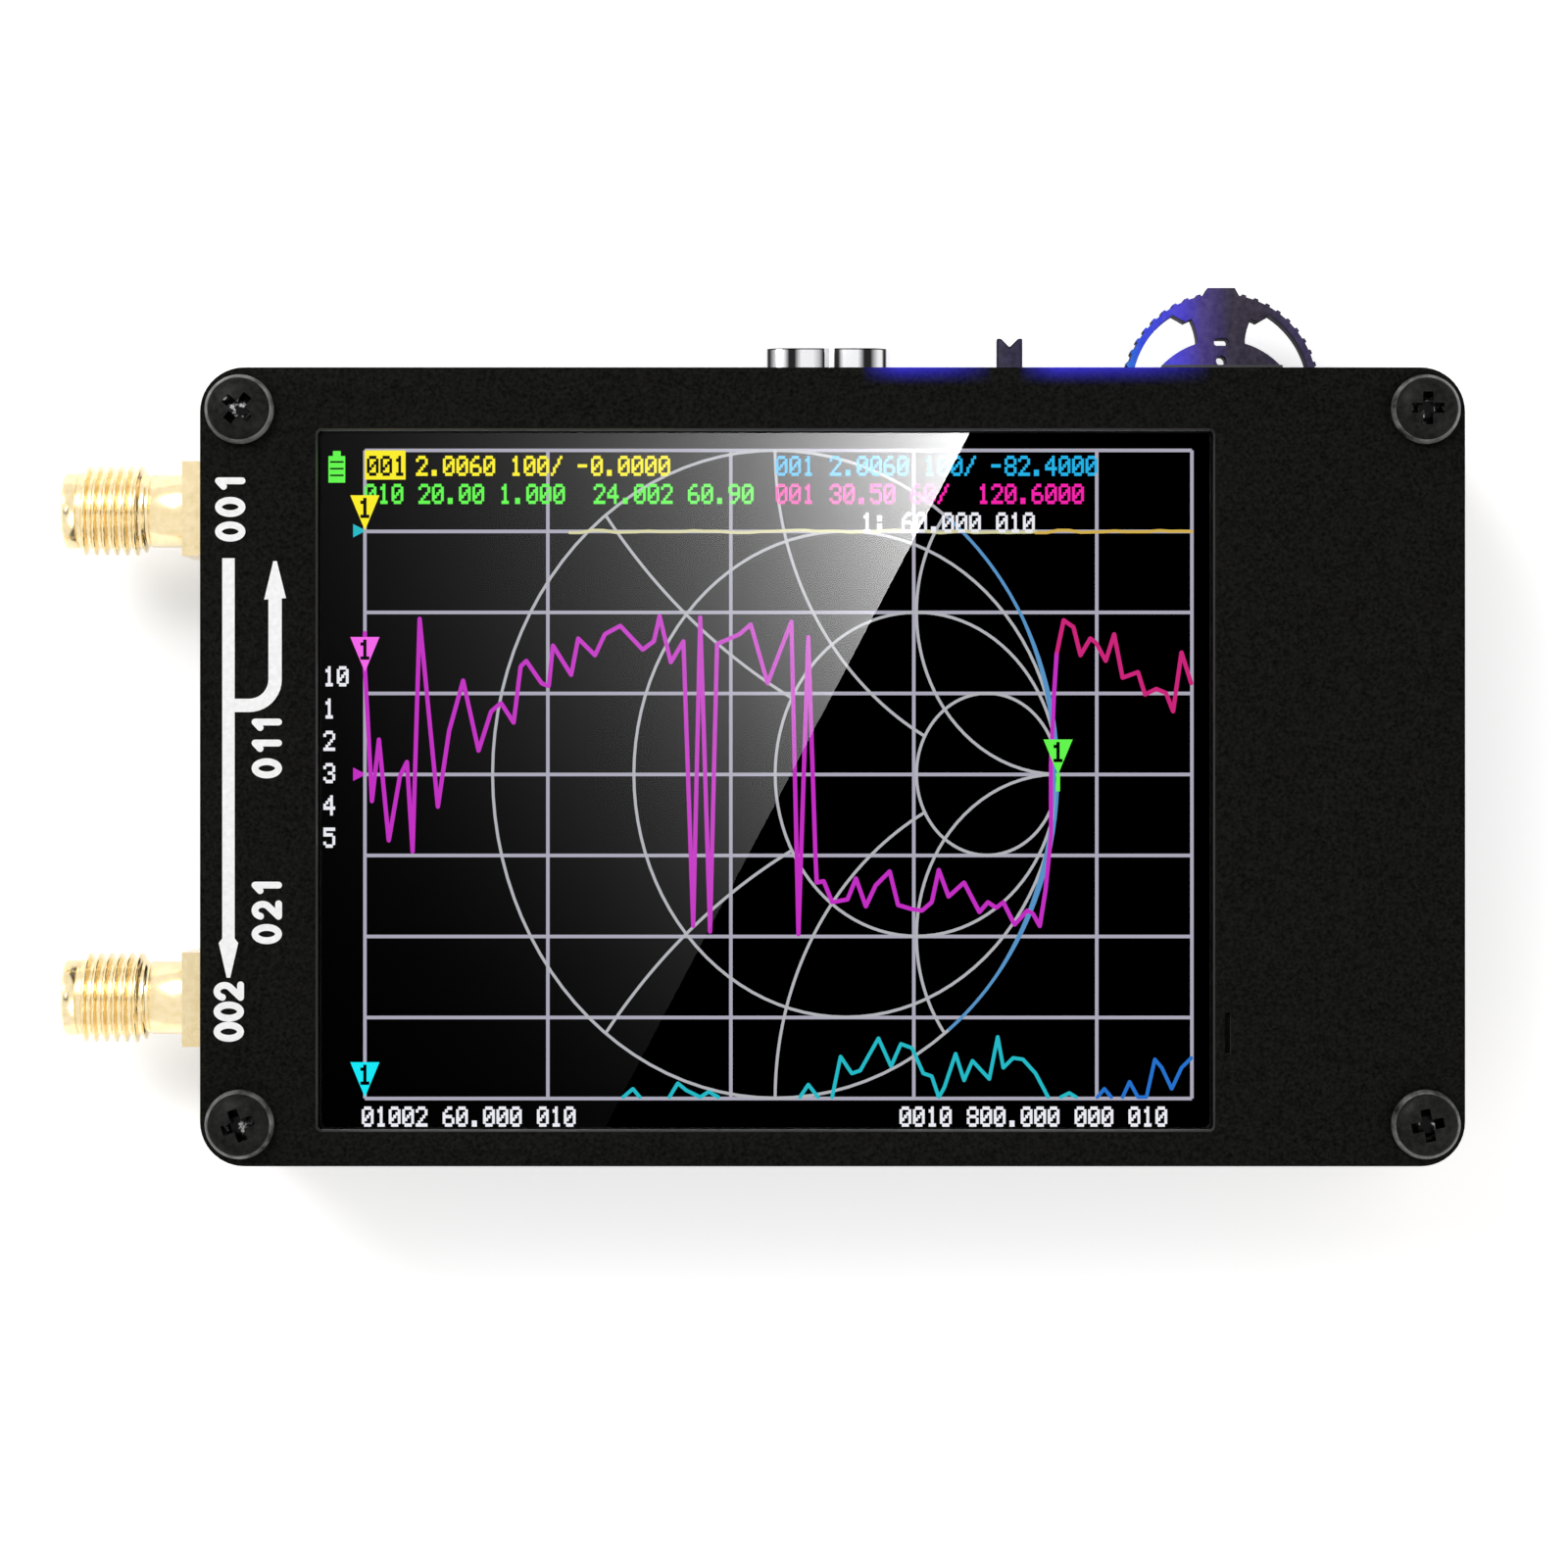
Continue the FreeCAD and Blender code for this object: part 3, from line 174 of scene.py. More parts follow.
def brushed(name, dark, light, rough, axis):
    """Metal with fine scratches along one axis (0 for X, 1 for Y, 2 for Z)."""
    material, tree, shader = new_material(name)
    set_sockets(shader, {"Metallic": 1.0})
    stretch = [12.0, 12.0, 12.0]
    stretch[axis] = 0.4
    mapping = tree.nodes.new("ShaderNodeMapping")
    set_sockets(mapping, {"Scale": stretch})
    tree.links.new(object_coordinates(tree), mapping.inputs["Vector"])
    scratches = noise(tree, SCRATCH_GRAIN, 2.0, 0.5, mapping.outputs["Vector"])
    tree.links.new(ramp(tree, scratches, ((0.3, dark), (0.7, light))), shader.inputs["Base Color"])
    tree.links.new(spread(tree, scratches, rough * 0.7, rough * 1.3), shader.inputs["Roughness"])
    bump(tree, shader, scratches, 0.1, 0.004 * MM)
    return material


def glowing(name, colour, strength=1.0):
    """Black glass that gives off its own colour."""
    material, _, shader = new_material(name)
    set_sockets(shader, {
        "Base Color": (*NONE, 1.0), "Roughness": 0.5, "Specular IOR Level": 0.0,
        "Emission Color": (*colour, 1.0), "Emission Strength": strength,
    })
    return material


def body_of(node):
    bodies = frame["record"]["behaviour"]["bodies"]
    return next(body for body, nodes in bodies.items() if node in nodes)


def dress(node, material):
    """Gives a CAD node's object one material."""
    mesh = frame["nodes"][node].data
    mesh.materials.clear()
    mesh.materials.append(material)


# Object and mesh helpers

def add_object(name, data):
    obj = bpy.data.objects.new(name, data)
    bpy.context.scene.collection.objects.link(obj)
    return obj


def piece(name, mesh, material, body="chassis"):
    obj = add_object(name, mesh)
    mesh.materials.append(material)
    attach(obj, body)
    return obj


def flat_sheet(name, polygons):
    """One flat mesh that covers overlapping polygons of one level once."""
    corners = []
    loops = []
    for polygon in polygons:
        points = [Vector((p.x / MM, p.y / MM)) for p in polygon]
        area = sum(a.x * b.y - b.x * a.y for a, b in zip(points, points[1:] + points[:1]))
        if area < 0:
            points.reverse()
        loops.append(list(range(len(corners), len(corners) + len(points))))
        corners.extend(points)
    merged = geometry.delaunay_2d_cdt(corners, [], loops, 1, 1e-5)
    level = polygons[0][0].z
    faces = [face for face, covered in zip(merged[2], merged[5]) if covered]
    mesh = bpy.data.meshes.new(name)
    mesh.from_pydata([(v.x * MM, v.y * MM, level) for v in merged[0]], [], faces)
    return mesh


def mesh_from(name, work, smooth_deg=30.0):
    """Turns a bmesh into a mesh that is smooth but for its sharp edges."""
    bmesh.ops.recalc_face_normals(work, faces=work.faces)
    mesh = bpy.data.meshes.new(name)
    work.to_mesh(mesh)
    work.free()
    mesh.polygons.foreach_set("use_smooth", [True] * len(mesh.polygons))
    mesh.set_sharp_from_angle(angle=math.radians(smooth_deg))
    return mesh


def node_copy(node):
    """A CAD node's mesh with its flat faces whole again, as a bmesh."""
    work = bmesh.new()
    work.from_mesh(frame["nodes"][node].data)
    bmesh.ops.remove_doubles(work, verts=work.verts, dist=0.0005 * MM)
    bmesh.ops.dissolve_limit(work, angle_limit=math.radians(0.5), verts=work.verts, edges=work.edges)
    return work


def eased(node, material, width, edge_material=None, edge_slope=0.2):
    """A CAD node's own shape with its sharp edges rounded, and perhaps another finish on its steep faces."""
    dress(node, material)
    work = node_copy(node)
    least = math.radians(32.0)
    sharp = [e for e in work.edges if len(e.link_faces) == 2 and e.calc_face_angle(0.0) > least]
    bmesh.ops.bevel(work, geom=sharp, offset=width, offset_type="OFFSET", segments=2, profile=0.6,
                    affect="EDGES", clamp_overlap=True)
    if edge_material:
        for face in work.faces:
            if abs(face.normal.z) < edge_slope:
                face.material_index = 1
    obj = piece(node + "_eased", mesh_from(node, work), material, body_of(node))
    if edge_material:
        obj.data.materials.append(edge_material)
    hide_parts(node)


def ring_surface(work, rings):
    """Quads between successive rings of as many points each, the last ring joined to the first."""
    rows = [[work.verts.new(point) for point in ring] for ring in rings]
    count = len(rows[0])
    for near, far in zip(rows, rows[1:] + rows[:1]):
        for k in range(count):
            follow = (k + 1) % count
            work.faces.new((near[k], near[follow], far[follow], far[k]))


def ribbon(points, width, closed=False):
    """Mitred quads of one width along a line of flat points."""
    count = len(points)
    left = []
    right = []
    for i, point in enumerate(points):
        before = points[i - 1] if closed or i > 0 else point
        after = points[(i + 1) % count] if closed or i < count - 1 else point
        arriving = point - before
        leaving = after - point
        heading_in = (arriving if arriving.length else leaving).normalized()
        heading_out = (leaving if leaving.length else arriving).normalized()
        heading = heading_in + heading_out
        heading = heading.normalized() if heading.length > 1e-6 else heading_out
        miter = min(1.0 / max(heading.dot(heading_out), 0.35), 1.6)
        side = Vector((-heading.y, heading.x, 0.0)) * (width / 2 * miter)
        left.append(point + side)
        right.append(point - side)
    last = count if closed else count - 1
    return [(left[i], right[i], right[(i + 1) % count], left[(i + 1) % count]) for i in range(last)]


# The display's picture

GLYPHS = {
    "0": ".###. #...# #..## #.#.# ##..# #...# .###.",
    "1": "..#.. .##.. ..#.. ..#.. ..#.. ..#.. .###.",
    "2": ".###. #...# ....# ...#. ..#.. .#... #####",
    "3": ".###. #...# ....# ..##. ....# #...# .###.",
    "4": "...#. ..##. .#.#. #..#. ##### ...#. ...#.",
    "5": "##### #.... ####. ....# ....# #...# .###.",
    "6": "..##. .#... #.... ####. #...# #...# .###.",
    "8": ".###. #...# #...# .###. #...# #...# .###.",
    "9": ".###. #...# #...# .#### ....# ...#. .##..",
    ".": "..... ..... ..... ..... ..... .##.. .##..",
    ":": "..... .##.. .##.. ..... .##.. .##.. .....",
    "-": "..... ..... ..... ####. ..... ..... .....",
    "/": "....# ...#. ...#. ..#.. .#... .#... #....",
}
GLYPH_STEP = 6
DOT_SPREAD = 0.1


def dot_point(x, y, layer=0):
    """A place on the display, in dots right of and down from its top left corner."""
    return Vector((SCREEN_LEFT + x * DOT, SCREEN_TOP - y * DOT, CELL_TOP + PICTURE_LIFT + layer * LAYER_STEP))


def dot_rectangle(x0, y0, x1, y1, layer=0):
    return tuple(dot_point(x, y, layer) for x, y in ((x0, y1), (x1, y1), (x1, y0), (x0, y0)))


def text_quads(words, x, y, squeeze, layer):
    """The lit dots of a line of figures, joined along each row."""
    quads = []
    for index, letter in enumerate(words):
        for row_index, row in enumerate(GLYPHS.get(letter, "").split()):
            y0 = y + row_index - DOT_SPREAD
            y1 = y0 + 1 + 2 * DOT_SPREAD
            for run in re.finditer("#+", row):
                x0, x1 = (x + (index * GLYPH_STEP + column) * squeeze for column in run.span())
                quads.append(dot_rectangle(x0 - DOT_SPREAD, y0, x1 + DOT_SPREAD, y1, layer))
    return quads


GRID_LEFT = 15.0
GRID_TOP = 7.0
GRID_COLUMNS = (0.0, 65.2, 130.4, 195.6, 260.8, 294.7)
GRID_ROW_STEP = 28.87
GRID_ROWS = 8
GRID_RIGHT = GRID_LEFT + GRID_COLUMNS[-1]
GRID_BOTTOM = GRID_TOP + GRID_ROWS * GRID_ROW_STEP
GRID_LINE = 1.25

CHART_X = 161.2
CHART_Y = 122.4
CHART_HALF_W = 100.7
CHART_HALF_H = 115.4
CHART_LINE = 1.05


def chart_point(gamma):
    """A reflection coefficient's place on the round chart, which the picture squeezes sideways."""
    return dot_point(CHART_X + CHART_HALF_W * gamma.real, CHART_Y - CHART_HALF_H * gamma.imag, 1)


def chart_circle(resistance):
    centre = resistance / (1 + resistance)
    radius = 1 / (1 + resistance)
    steps = 96
    turn = 2 * math.pi / steps
    return [chart_point(complex(centre + radius * math.cos(k * turn), radius * math.sin(k * turn)))
            for k in range(steps)]


def chart_arc(reactance, resistance_end):
    """The curve of one reactance from zero resistance to where it ends."""
    points = []
    steps = 48
    end = resistance_end / (1 + resistance_end)
    for k in range(steps + 1):
        share = end * k / steps
        z = complex(share / (1 - share) if share < 1 else 1e6, reactance)
        points.append(chart_point((z - 1) / (z + 1)))
    return points


def grid_quads():
    quads = []
    half = GRID_LINE / 2
    for offset in GRID_COLUMNS:
        x = GRID_LEFT + offset
        quads.append(dot_rectangle(x - half, GRID_TOP, x + half, GRID_BOTTOM))
    for row in range(GRID_ROWS + 1):
        y = GRID_TOP + row * GRID_ROW_STEP
        quads.append(dot_rectangle(GRID_LEFT, y - half, GRID_RIGHT, y + half))
    return quads


def chart_quads():
    quads = []
    width = CHART_LINE * DOT
    for resistance in (0.0, 1 / 3, 1.0, 3.0):
        quads += ribbon(chart_circle(resistance), width, closed=True)
    for reactance, end in ((0.5, 1.0), (1.0, 3.0), (2.0, 400.0)):
        for sign in (1, -1):
            quads += ribbon(chart_arc(sign * reactance, end), width)
    return quads


def disc(centre, radius, steps):
    turn = 2 * math.pi / steps
    return tuple(centre + Vector((radius * math.cos(k * turn), radius * math.sin(k * turn), 0))
                 for k in range(steps))


def stroke(points, width, steps=12):
    """A line of one width with round joints and ends, as overlapping flat polygons."""
    polygons = [disc(point, width / 2, steps) for point in points]
    for near, far in zip(points, points[1:]):
        heading = (far - near).normalized()
        side = Vector((-heading.y, heading.x, 0.0)) * (width / 2)
        polygons.append((near + side, near - side, far - side, far + side))
    return polygons


def trace_quads(points, width, layer):
    return stroke([dot_point(x, y, layer) for x, y in points], width * DOT, 8)


def marker_quads(x, y):
    """A pointer triangle with its tip down."""
    return [tuple(dot_point(*p, 5) for p in ((x, y + 12.5), (x + 5.2, y), (x - 5.2, y)))]


def arrow_quads(x, y):
    return [tuple(dot_point(*p) for p in ((x, y - 2.4), (x, y + 2.4), (x + 4.6, y)))]


# The phase curve's turning points, in dots: noise on the left, edge-to-edge jumps, and a level stretch
PHASE_START = (
    (15, 72), (15, 85), (16, 103), (17.5, 132), (20, 110), (23.5, 146), (27.5, 123), (30, 118),
    (32, 150), (34.5, 67), (41, 134), (45, 107), (50, 89), (55.5, 114), (60, 100), (63.5, 97), (68, 104),
    (70.5, 84), (72.5, 82), (78, 90), (80.5, 91), (82, 76.5), (88.5, 87), (91, 74), (97, 80),
    (100.5, 72.5), (106, 69.5), (114, 78), (118, 75), (120, 66), (124, 82.5), (128.5, 75), (132, 176.5),
    (134.5, 66.5), (138, 178.5), (140.5, 76), (148.5, 72.5), (152.5, 69), (158.5, 90), (167, 68),
    (169.5, 179.5), (173, 73.5), (175.5, 150),
)
PHASE_LEVEL = (
    (176, 161), (178.5, 160.5), (181.5, 168), (187, 167), (190, 159.5), (193.5, 169.5), (197, 162),
    (202, 157), (205, 169), (210, 170.5), (213.5, 171), (217, 168), (219.5, 156.5), (223, 166),
    (228.5, 161), (234, 171.5), (237, 168), (240, 170), (242.5, 168), (246.5, 176), (251, 171),
    (253, 172), (255.5, 176.5), (257.5, 164), (259.5, 144), (259.5, 119), (260.5, 95), (261.5, 79.5),
)
PHASE_END = (
    (261.5, 79.5), (264, 67.5), (267.5, 70), (270, 80), (273.5, 74), (275.5, 75.5), (279, 82),
    (282, 72.5), (285, 88), (290.5, 86), (293, 94), (297, 92), (300.5, 93.5), (303, 100), (306, 79),
    (309.5, 90),
)
# The weak curve, where it rises above the grid's bottom line
WEAK_BUMPS = (
    ((107, 237.5), (110.5, 234.5), (113, 237.5)),
    ((123.5, 237.5), (126.5, 232.5), (129.5, 235), (134.5, 237.5), (137.5, 235.5), (141, 237.5)),
    ((170, 237.5), (173, 233), (176.5, 237.5)),
    ((181.5, 237.5), (184.5, 223), (188.5, 229), (191.5, 228), (198, 216.5), (202.5, 226.5), (206, 218.5),
     (210, 220), (214, 229), (217, 230), (219.5, 237.5), (221.5, 234), (225.5, 222), (228.5, 231.5),
     (231.5, 224.5), (237.5, 231), (240.5, 216), (242.5, 227), (246, 223.5), (249.5, 224), (254, 229),
     (258.5, 237.5)),
    ((263, 237.5), (266, 236), (268.5, 237.5)),
)
WEAK_END = (
    ((276, 237.5), (278.5, 234.5), (281, 237.5)),
    ((285, 237.5), (287.5, 232), (290.5, 237.5), (293.5, 237.5), (296.5, 224), (299, 227), (302.5, 234.5),
     (306, 227), (309.5, 223.5)),
)
LEVEL_BREAK = 254.0


def level_points(x0, x1):
    """The almost flat curve on the second line of the grid."""
    source = random.Random(2)
    points = []
    x = x0
    while x < x1:
        points.append((x, GRID_TOP + GRID_ROW_STEP + 0.45 * source.uniform(-1, 1)))
        x += 4.0
    points.append((x1, GRID_TOP + GRID_ROW_STEP))
    return points


def impedance_trace(start_deg, end_deg, inset):
    """The measured points crowding along the right side of the round chart."""
    points = []
    steps = 40
    for k in range(steps + 1):
        angle = math.radians(start_deg + (end_deg - start_deg) * k / steps)
        reach = 1.0 - inset * math.sin(math.pi * k / steps)
        points.append((CHART_X + CHART_HALF_W * reach * math.cos(angle),
                       CHART_Y - CHART_HALF_H * reach * math.sin(angle)))
    return points


TEXT_SQUEEZE = 0.8
TEXT_LAYER = 3
MENU_TOP = 84.0
MENU_STEP = 11.5
PHASE_WIDTH = 1.5
DISPLAY_COLOURS = {
    "white": (0.86, 0.86, 0.92),
    "line": (0.42, 0.41, 0.50),
    "chart": (0.46, 0.47, 0.50),
    "yellow": (1.0, 0.88, 0.02),
    "pale_yellow": (0.66, 0.64, 0.36),
    "amber": (0.66, 0.44, 0.08),
    "green": (0.13, 0.95, 0.08),
    "cyan": (0.02, 0.50, 0.58),
    "bright_cyan": (0.01, 0.85, 0.95),
    "sky": (0.02, 0.46, 0.83),
    "magenta": (0.56, 0.03, 0.56),
    "rose": (0.95, 0.02, 0.42),
    "bright_magenta": (0.95, 0.14, 0.85),
    "pink": (0.62, 0.02, 0.20),
    "blue": (0.02, 0.17, 0.62),
    "steel_blue": (0.10, 0.30, 0.58),
    "dark": NONE,
}
# Each pointer's colour and the middle of its upper side
MARKERS = {
    "yellow": ("yellow", 15.0, 23.0),
    "magenta": ("bright_magenta", 15.0, 73.5),
    "cyan": ("bright_cyan", 15.0, 225.0),
    "green": ("green", 262.0, 110.0),
}


def texts(*rows):
    return [quad for words, x, y in rows for quad in text_quads(words, x, y, TEXT_SQUEEZE, TEXT_LAYER)]


def bumps(groups):
    return [quad for points in groups for quad in trace_quads(points, 1.3, 2)]


def display_sheets():
    """Every sheet of lit dots by name, with its colour."""
    impedance = trace_quads(impedance_trace(52, -52, 0.0), 1.1, 2)
    impedance_inner = trace_quads(impedance_trace(30, -40, 0.012), 1.0, 2)
    menu = [("10", 0.3, MENU_TOP)] + [(str(k), 0.3, MENU_TOP + MENU_STEP * k) for k in range(1, 6)]
    sheets = {
        "display_grid": ("line", grid_quads()),
        "display_chart": ("chart", chart_quads()),
        "display_phase": ("magenta", trace_quads(PHASE_START + PHASE_LEVEL, PHASE_WIDTH, 3)),
        "display_phase_end": ("pink", trace_quads(PHASE_END, PHASE_WIDTH, 3)),
        "display_impedance": ("steel_blue", impedance + impedance_inner),
        "display_level": ("pale_yellow", trace_quads(level_points(88.0, LEVEL_BREAK), 1.1, 2)),
        "display_level_end": ("amber", trace_quads(level_points(LEVEL_BREAK, GRID_RIGHT), 1.1, 2)),
        "display_weak": ("cyan", bumps(WEAK_BUMPS)),
        "display_weak_end": ("blue", bumps(WEAK_END)),
        "display_inverse_box": ("yellow", [dot_rectangle(15.0, 7.0, 29.5, 17.4, 3)]),
        "display_inverse_figures": ("dark", text_quads("001", 15.8, 9.0, TEXT_SQUEEZE, 4)),
        "display_figures_yellow": ("yellow", texts(("2.0060 100/ -0.0000", 33.3, 9.0))),
        "display_figures_green": ("green", texts(("010 20.00 1.000  24.002 60.90", 15.0, 19.0))),
        "display_figures_cyan": ("sky", texts(("001 2.0060 100/ -82.4000", 161.5, 9.0))),
        "display_figures_magenta": ("rose", texts(("001 30.50 60/  120.6000", 161.5, 19.0))),
        "display_figures_white": ("white", texts(
            ("1: 60.000 010", 192.0, 29.2),
            ("01002 60.000 010", 14.0, 240.9),
            ("0010 800.000 000 010", 205.6, 240.9),
        )),
        "display_menu": ("white", texts(*menu)),
    }
    for name, (colour, x, y) in MARKERS.items():
        sheets["marker_" + name] = (colour, marker_quads(x, y))
        sheets["marker_figure_" + name] = ("dark", text_quads("1", x - 2.5, y + 1.0, 1.0, 6))
    sheets["marker_stem"] = ("green", [dot_rectangle(261.3, 122.0, 262.7, 128.5, 5)])
    sheets["pointer_cyan"] = ("cyan", arrow_quads(10.8, 35.6))
    sheets["pointer_magenta"] = ("magenta", arrow_quads(10.8, 122.4))
    sheets["battery_sign"] = ("green", [
        dot_rectangle(2.0, 9.0, 8.0, 18.5), dot_rectangle(3.6, 7.2, 6.4, 9.0),
    ])
    sheets["battery_sign_bars"] = ("dark", [
        dot_rectangle(2.6, 10.8 + 2.4 * k, 7.4, 11.4 + 2.4 * k, 1) for k in range(3)
    ])
    return sheets


def build_display():
    """Everything that the display shows, each colour as one flat sheet of lit dots."""
    lit = {name: glowing("display_" + name, colour) for name, colour in DISPLAY_COLOURS.items()}
    for name, (colour, quads) in display_sheets().items():
        piece(name, flat_sheet(name, quads), lit[colour])


# Finishes

# A blue glow painted as emission on the front plate's top edge, in place of the lamps' light
PAINTED_BLUE_GLOW = (0.035, 0.028, 0.62)
GLOW_REACH = 1.3 * MM
# The top edge's stretches of painted glow: where each starts, is full, falls and ends, in millimetres from
# the centre
GLOW_LEFT = -5.0
GLOW_RIGHT = 30.0
GLOW_STRETCHES = ((2.0, 4.6, 7.6, 10.8), (12.6, 15.2, 21.0, 25.6))
GLOW_SHARES = (0.0, 1.0, 0.7, 0.0)


def plate_mask(name="plate_mask"):
    """Matte black solder mask."""
    return surface(name, (0.0006, 0.0006, 0.0006), (0.0098, 0.0098, 0.0084), 0.62, grain=4200.0,
                   relief=0.4, depth=0.02 * MM, specular=0.03)


def lit_plate_mask():
    """The front plate's mask, with the blue light of the lamps behind it painted as a glow on its top edge.
    """
    material = plate_mask("front_mask_painted_glow")
    tree = material.node_tree
    shader = tree.nodes["Principled BSDF"]
    stops = [(0.0, NONE)]
    for places in GLOW_STRETCHES:
        for place, share in zip(places, GLOW_SHARES):
            stops.append(((place - GLOW_LEFT) / (GLOW_RIGHT - GLOW_LEFT), (share,) * 3))
    across = ramp(tree, along(tree, "X", PLATE_X + GLOW_LEFT * MM, PLATE_X + GLOW_RIGHT * MM), stops)
    fade = along(tree, "Y", PLATE_EDGE_Y - GLOW_REACH, PLATE_EDGE_Y)
    steep = math_node(tree, "MULTIPLY", fade, fade)
    set_sockets(shader, {"Emission Color": (*PAINTED_BLUE_GLOW, 1.0)})
    tree.links.new(math_node(tree, "MULTIPLY", across, steep), shader.inputs["Emission Strength"])
    return material


def lever_black():
    """Dark moulding with the blue lamp's light painted on as a glow from the left, cyan at the far end of the
    rim.
    """
    material = surface("lever_black", (0.012, 0.009, 0.013), (0.046, 0.038, 0.052), 0.5, grain=2600.0,
                       relief=0.3, depth=0.02 * MM, specular=0.2)
    tree = material.node_tree
    shader = tree.nodes["Principled BSDF"]
    low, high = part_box("jog_lever")
    stops = (
        (0.0, (0.0, 0.20, 0.78)),
        (0.09, (0.01, 0.05, 0.85)),
        (0.28, (0.05, 0.035, 0.72)),
        (0.40, (0.04, 0.02, 0.22)),
        (0.55, (0.008, 0.004, 0.02)),
        (0.72, (0.006, 0.004, 0.016)),
        (0.86, (0.016, 0.008, 0.07)),
        (1.0, (0.012, 0.006, 0.05)),
    )
    # The blue and cyan glow is painted as emission along the lever's length
    glow = ramp(tree, along(tree, "X", low.x, high.x), stops)
    tree.links.new(glow, shader.inputs["Emission Color"])
    set_sockets(shader, {"Emission Strength": 0.8})
    return material


def banded_chrome():
    """Polished steel with soft dark and pale bands painted across it as reflections, and a painted dark band
    along its front edge in two stretches.
    """
    material = brushed("usb_steel", (0.7, 0.7, 0.72), (0.86, 0.86, 0.88), 0.14, 1)
    tree = material.node_tree
    shader = tree.nodes["Principled BSDF"]
    low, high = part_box("usb_shell")
    dark = (0.02,) * 3
    pale = (0.86, 0.86, 0.88)
    grey = (0.5, 0.5, 0.52)
    stops = (
        (0.0, pale), (0.03, pale), (0.042, dark), (0.056, dark), (0.09, grey), (0.13, pale), (0.165, pale),
        (0.205, dark), (0.25, dark), (0.30, pale), (0.39, pale), (0.44, grey), (0.47, dark), (0.495, dark),
        (0.507, pale), (0.55, pale), (0.56, dark), (0.59, dark), (0.63, pale), (0.74, pale), (0.79, dark),
        (0.84, dark), (0.875, grey), (0.90, pale), (0.925, pale), (0.94, dark), (0.956, dark), (0.968, pale),
        (1.0, pale),
    )
    # Painted reflections: bands across the shell, and a dark band along its front edge where the lobes are
    # full
    painted_reflection_bands = ramp(tree, along(tree, "X", low.x, high.x), stops)
    painted_edge_band = ramp(tree, along(tree, "Y", high.y - 0.2 * MM, high.y), ((0.45, FULL), (0.6, (0.04,) * 3)))
    lobes = ramp(tree, along(tree, "X", low.x, high.x), (
        (0.042, NONE), (0.06, FULL), (0.485, FULL), (0.5, NONE), (0.553, NONE), (0.565, FULL), (0.935, FULL),
        (0.955, NONE),
    ))
    darkened = tree.nodes.new("ShaderNodeMix")
    darkened.data_type = "RGBA"
    darkened.blend_type = "MULTIPLY"
    tree.links.new(lobes, darkened.inputs["Factor"])
    tree.links.new(painted_reflection_bands, darkened.inputs[6])
    tree.links.new(painted_edge_band, darkened.inputs[7])
    tree.links.new(darkened.outputs[2], shader.inputs["Base Color"])
    return material


def touch_glass():
    material, _, shader = new_material("touch_glass")
    set_sockets(shader, {"Base Color": WHITE, "Roughness": 0.0, "Transmission Weight": 1.0, "IOR": 1.5})
    return material


def led_resin():
    material, _, shader = new_material("led_resin")
    set_sockets(shader, {
        "Base Color": (0.5, 0.6, 1.0, 1.0), "Roughness": 0.3,
        "Emission Color": (0.05, 0.08, 1.0, 1.0), "Emission Strength": 4.0,
    })
    return material


FINE_EDGE = 0.05 * MM
SMALL_EDGE = 0.1 * MM


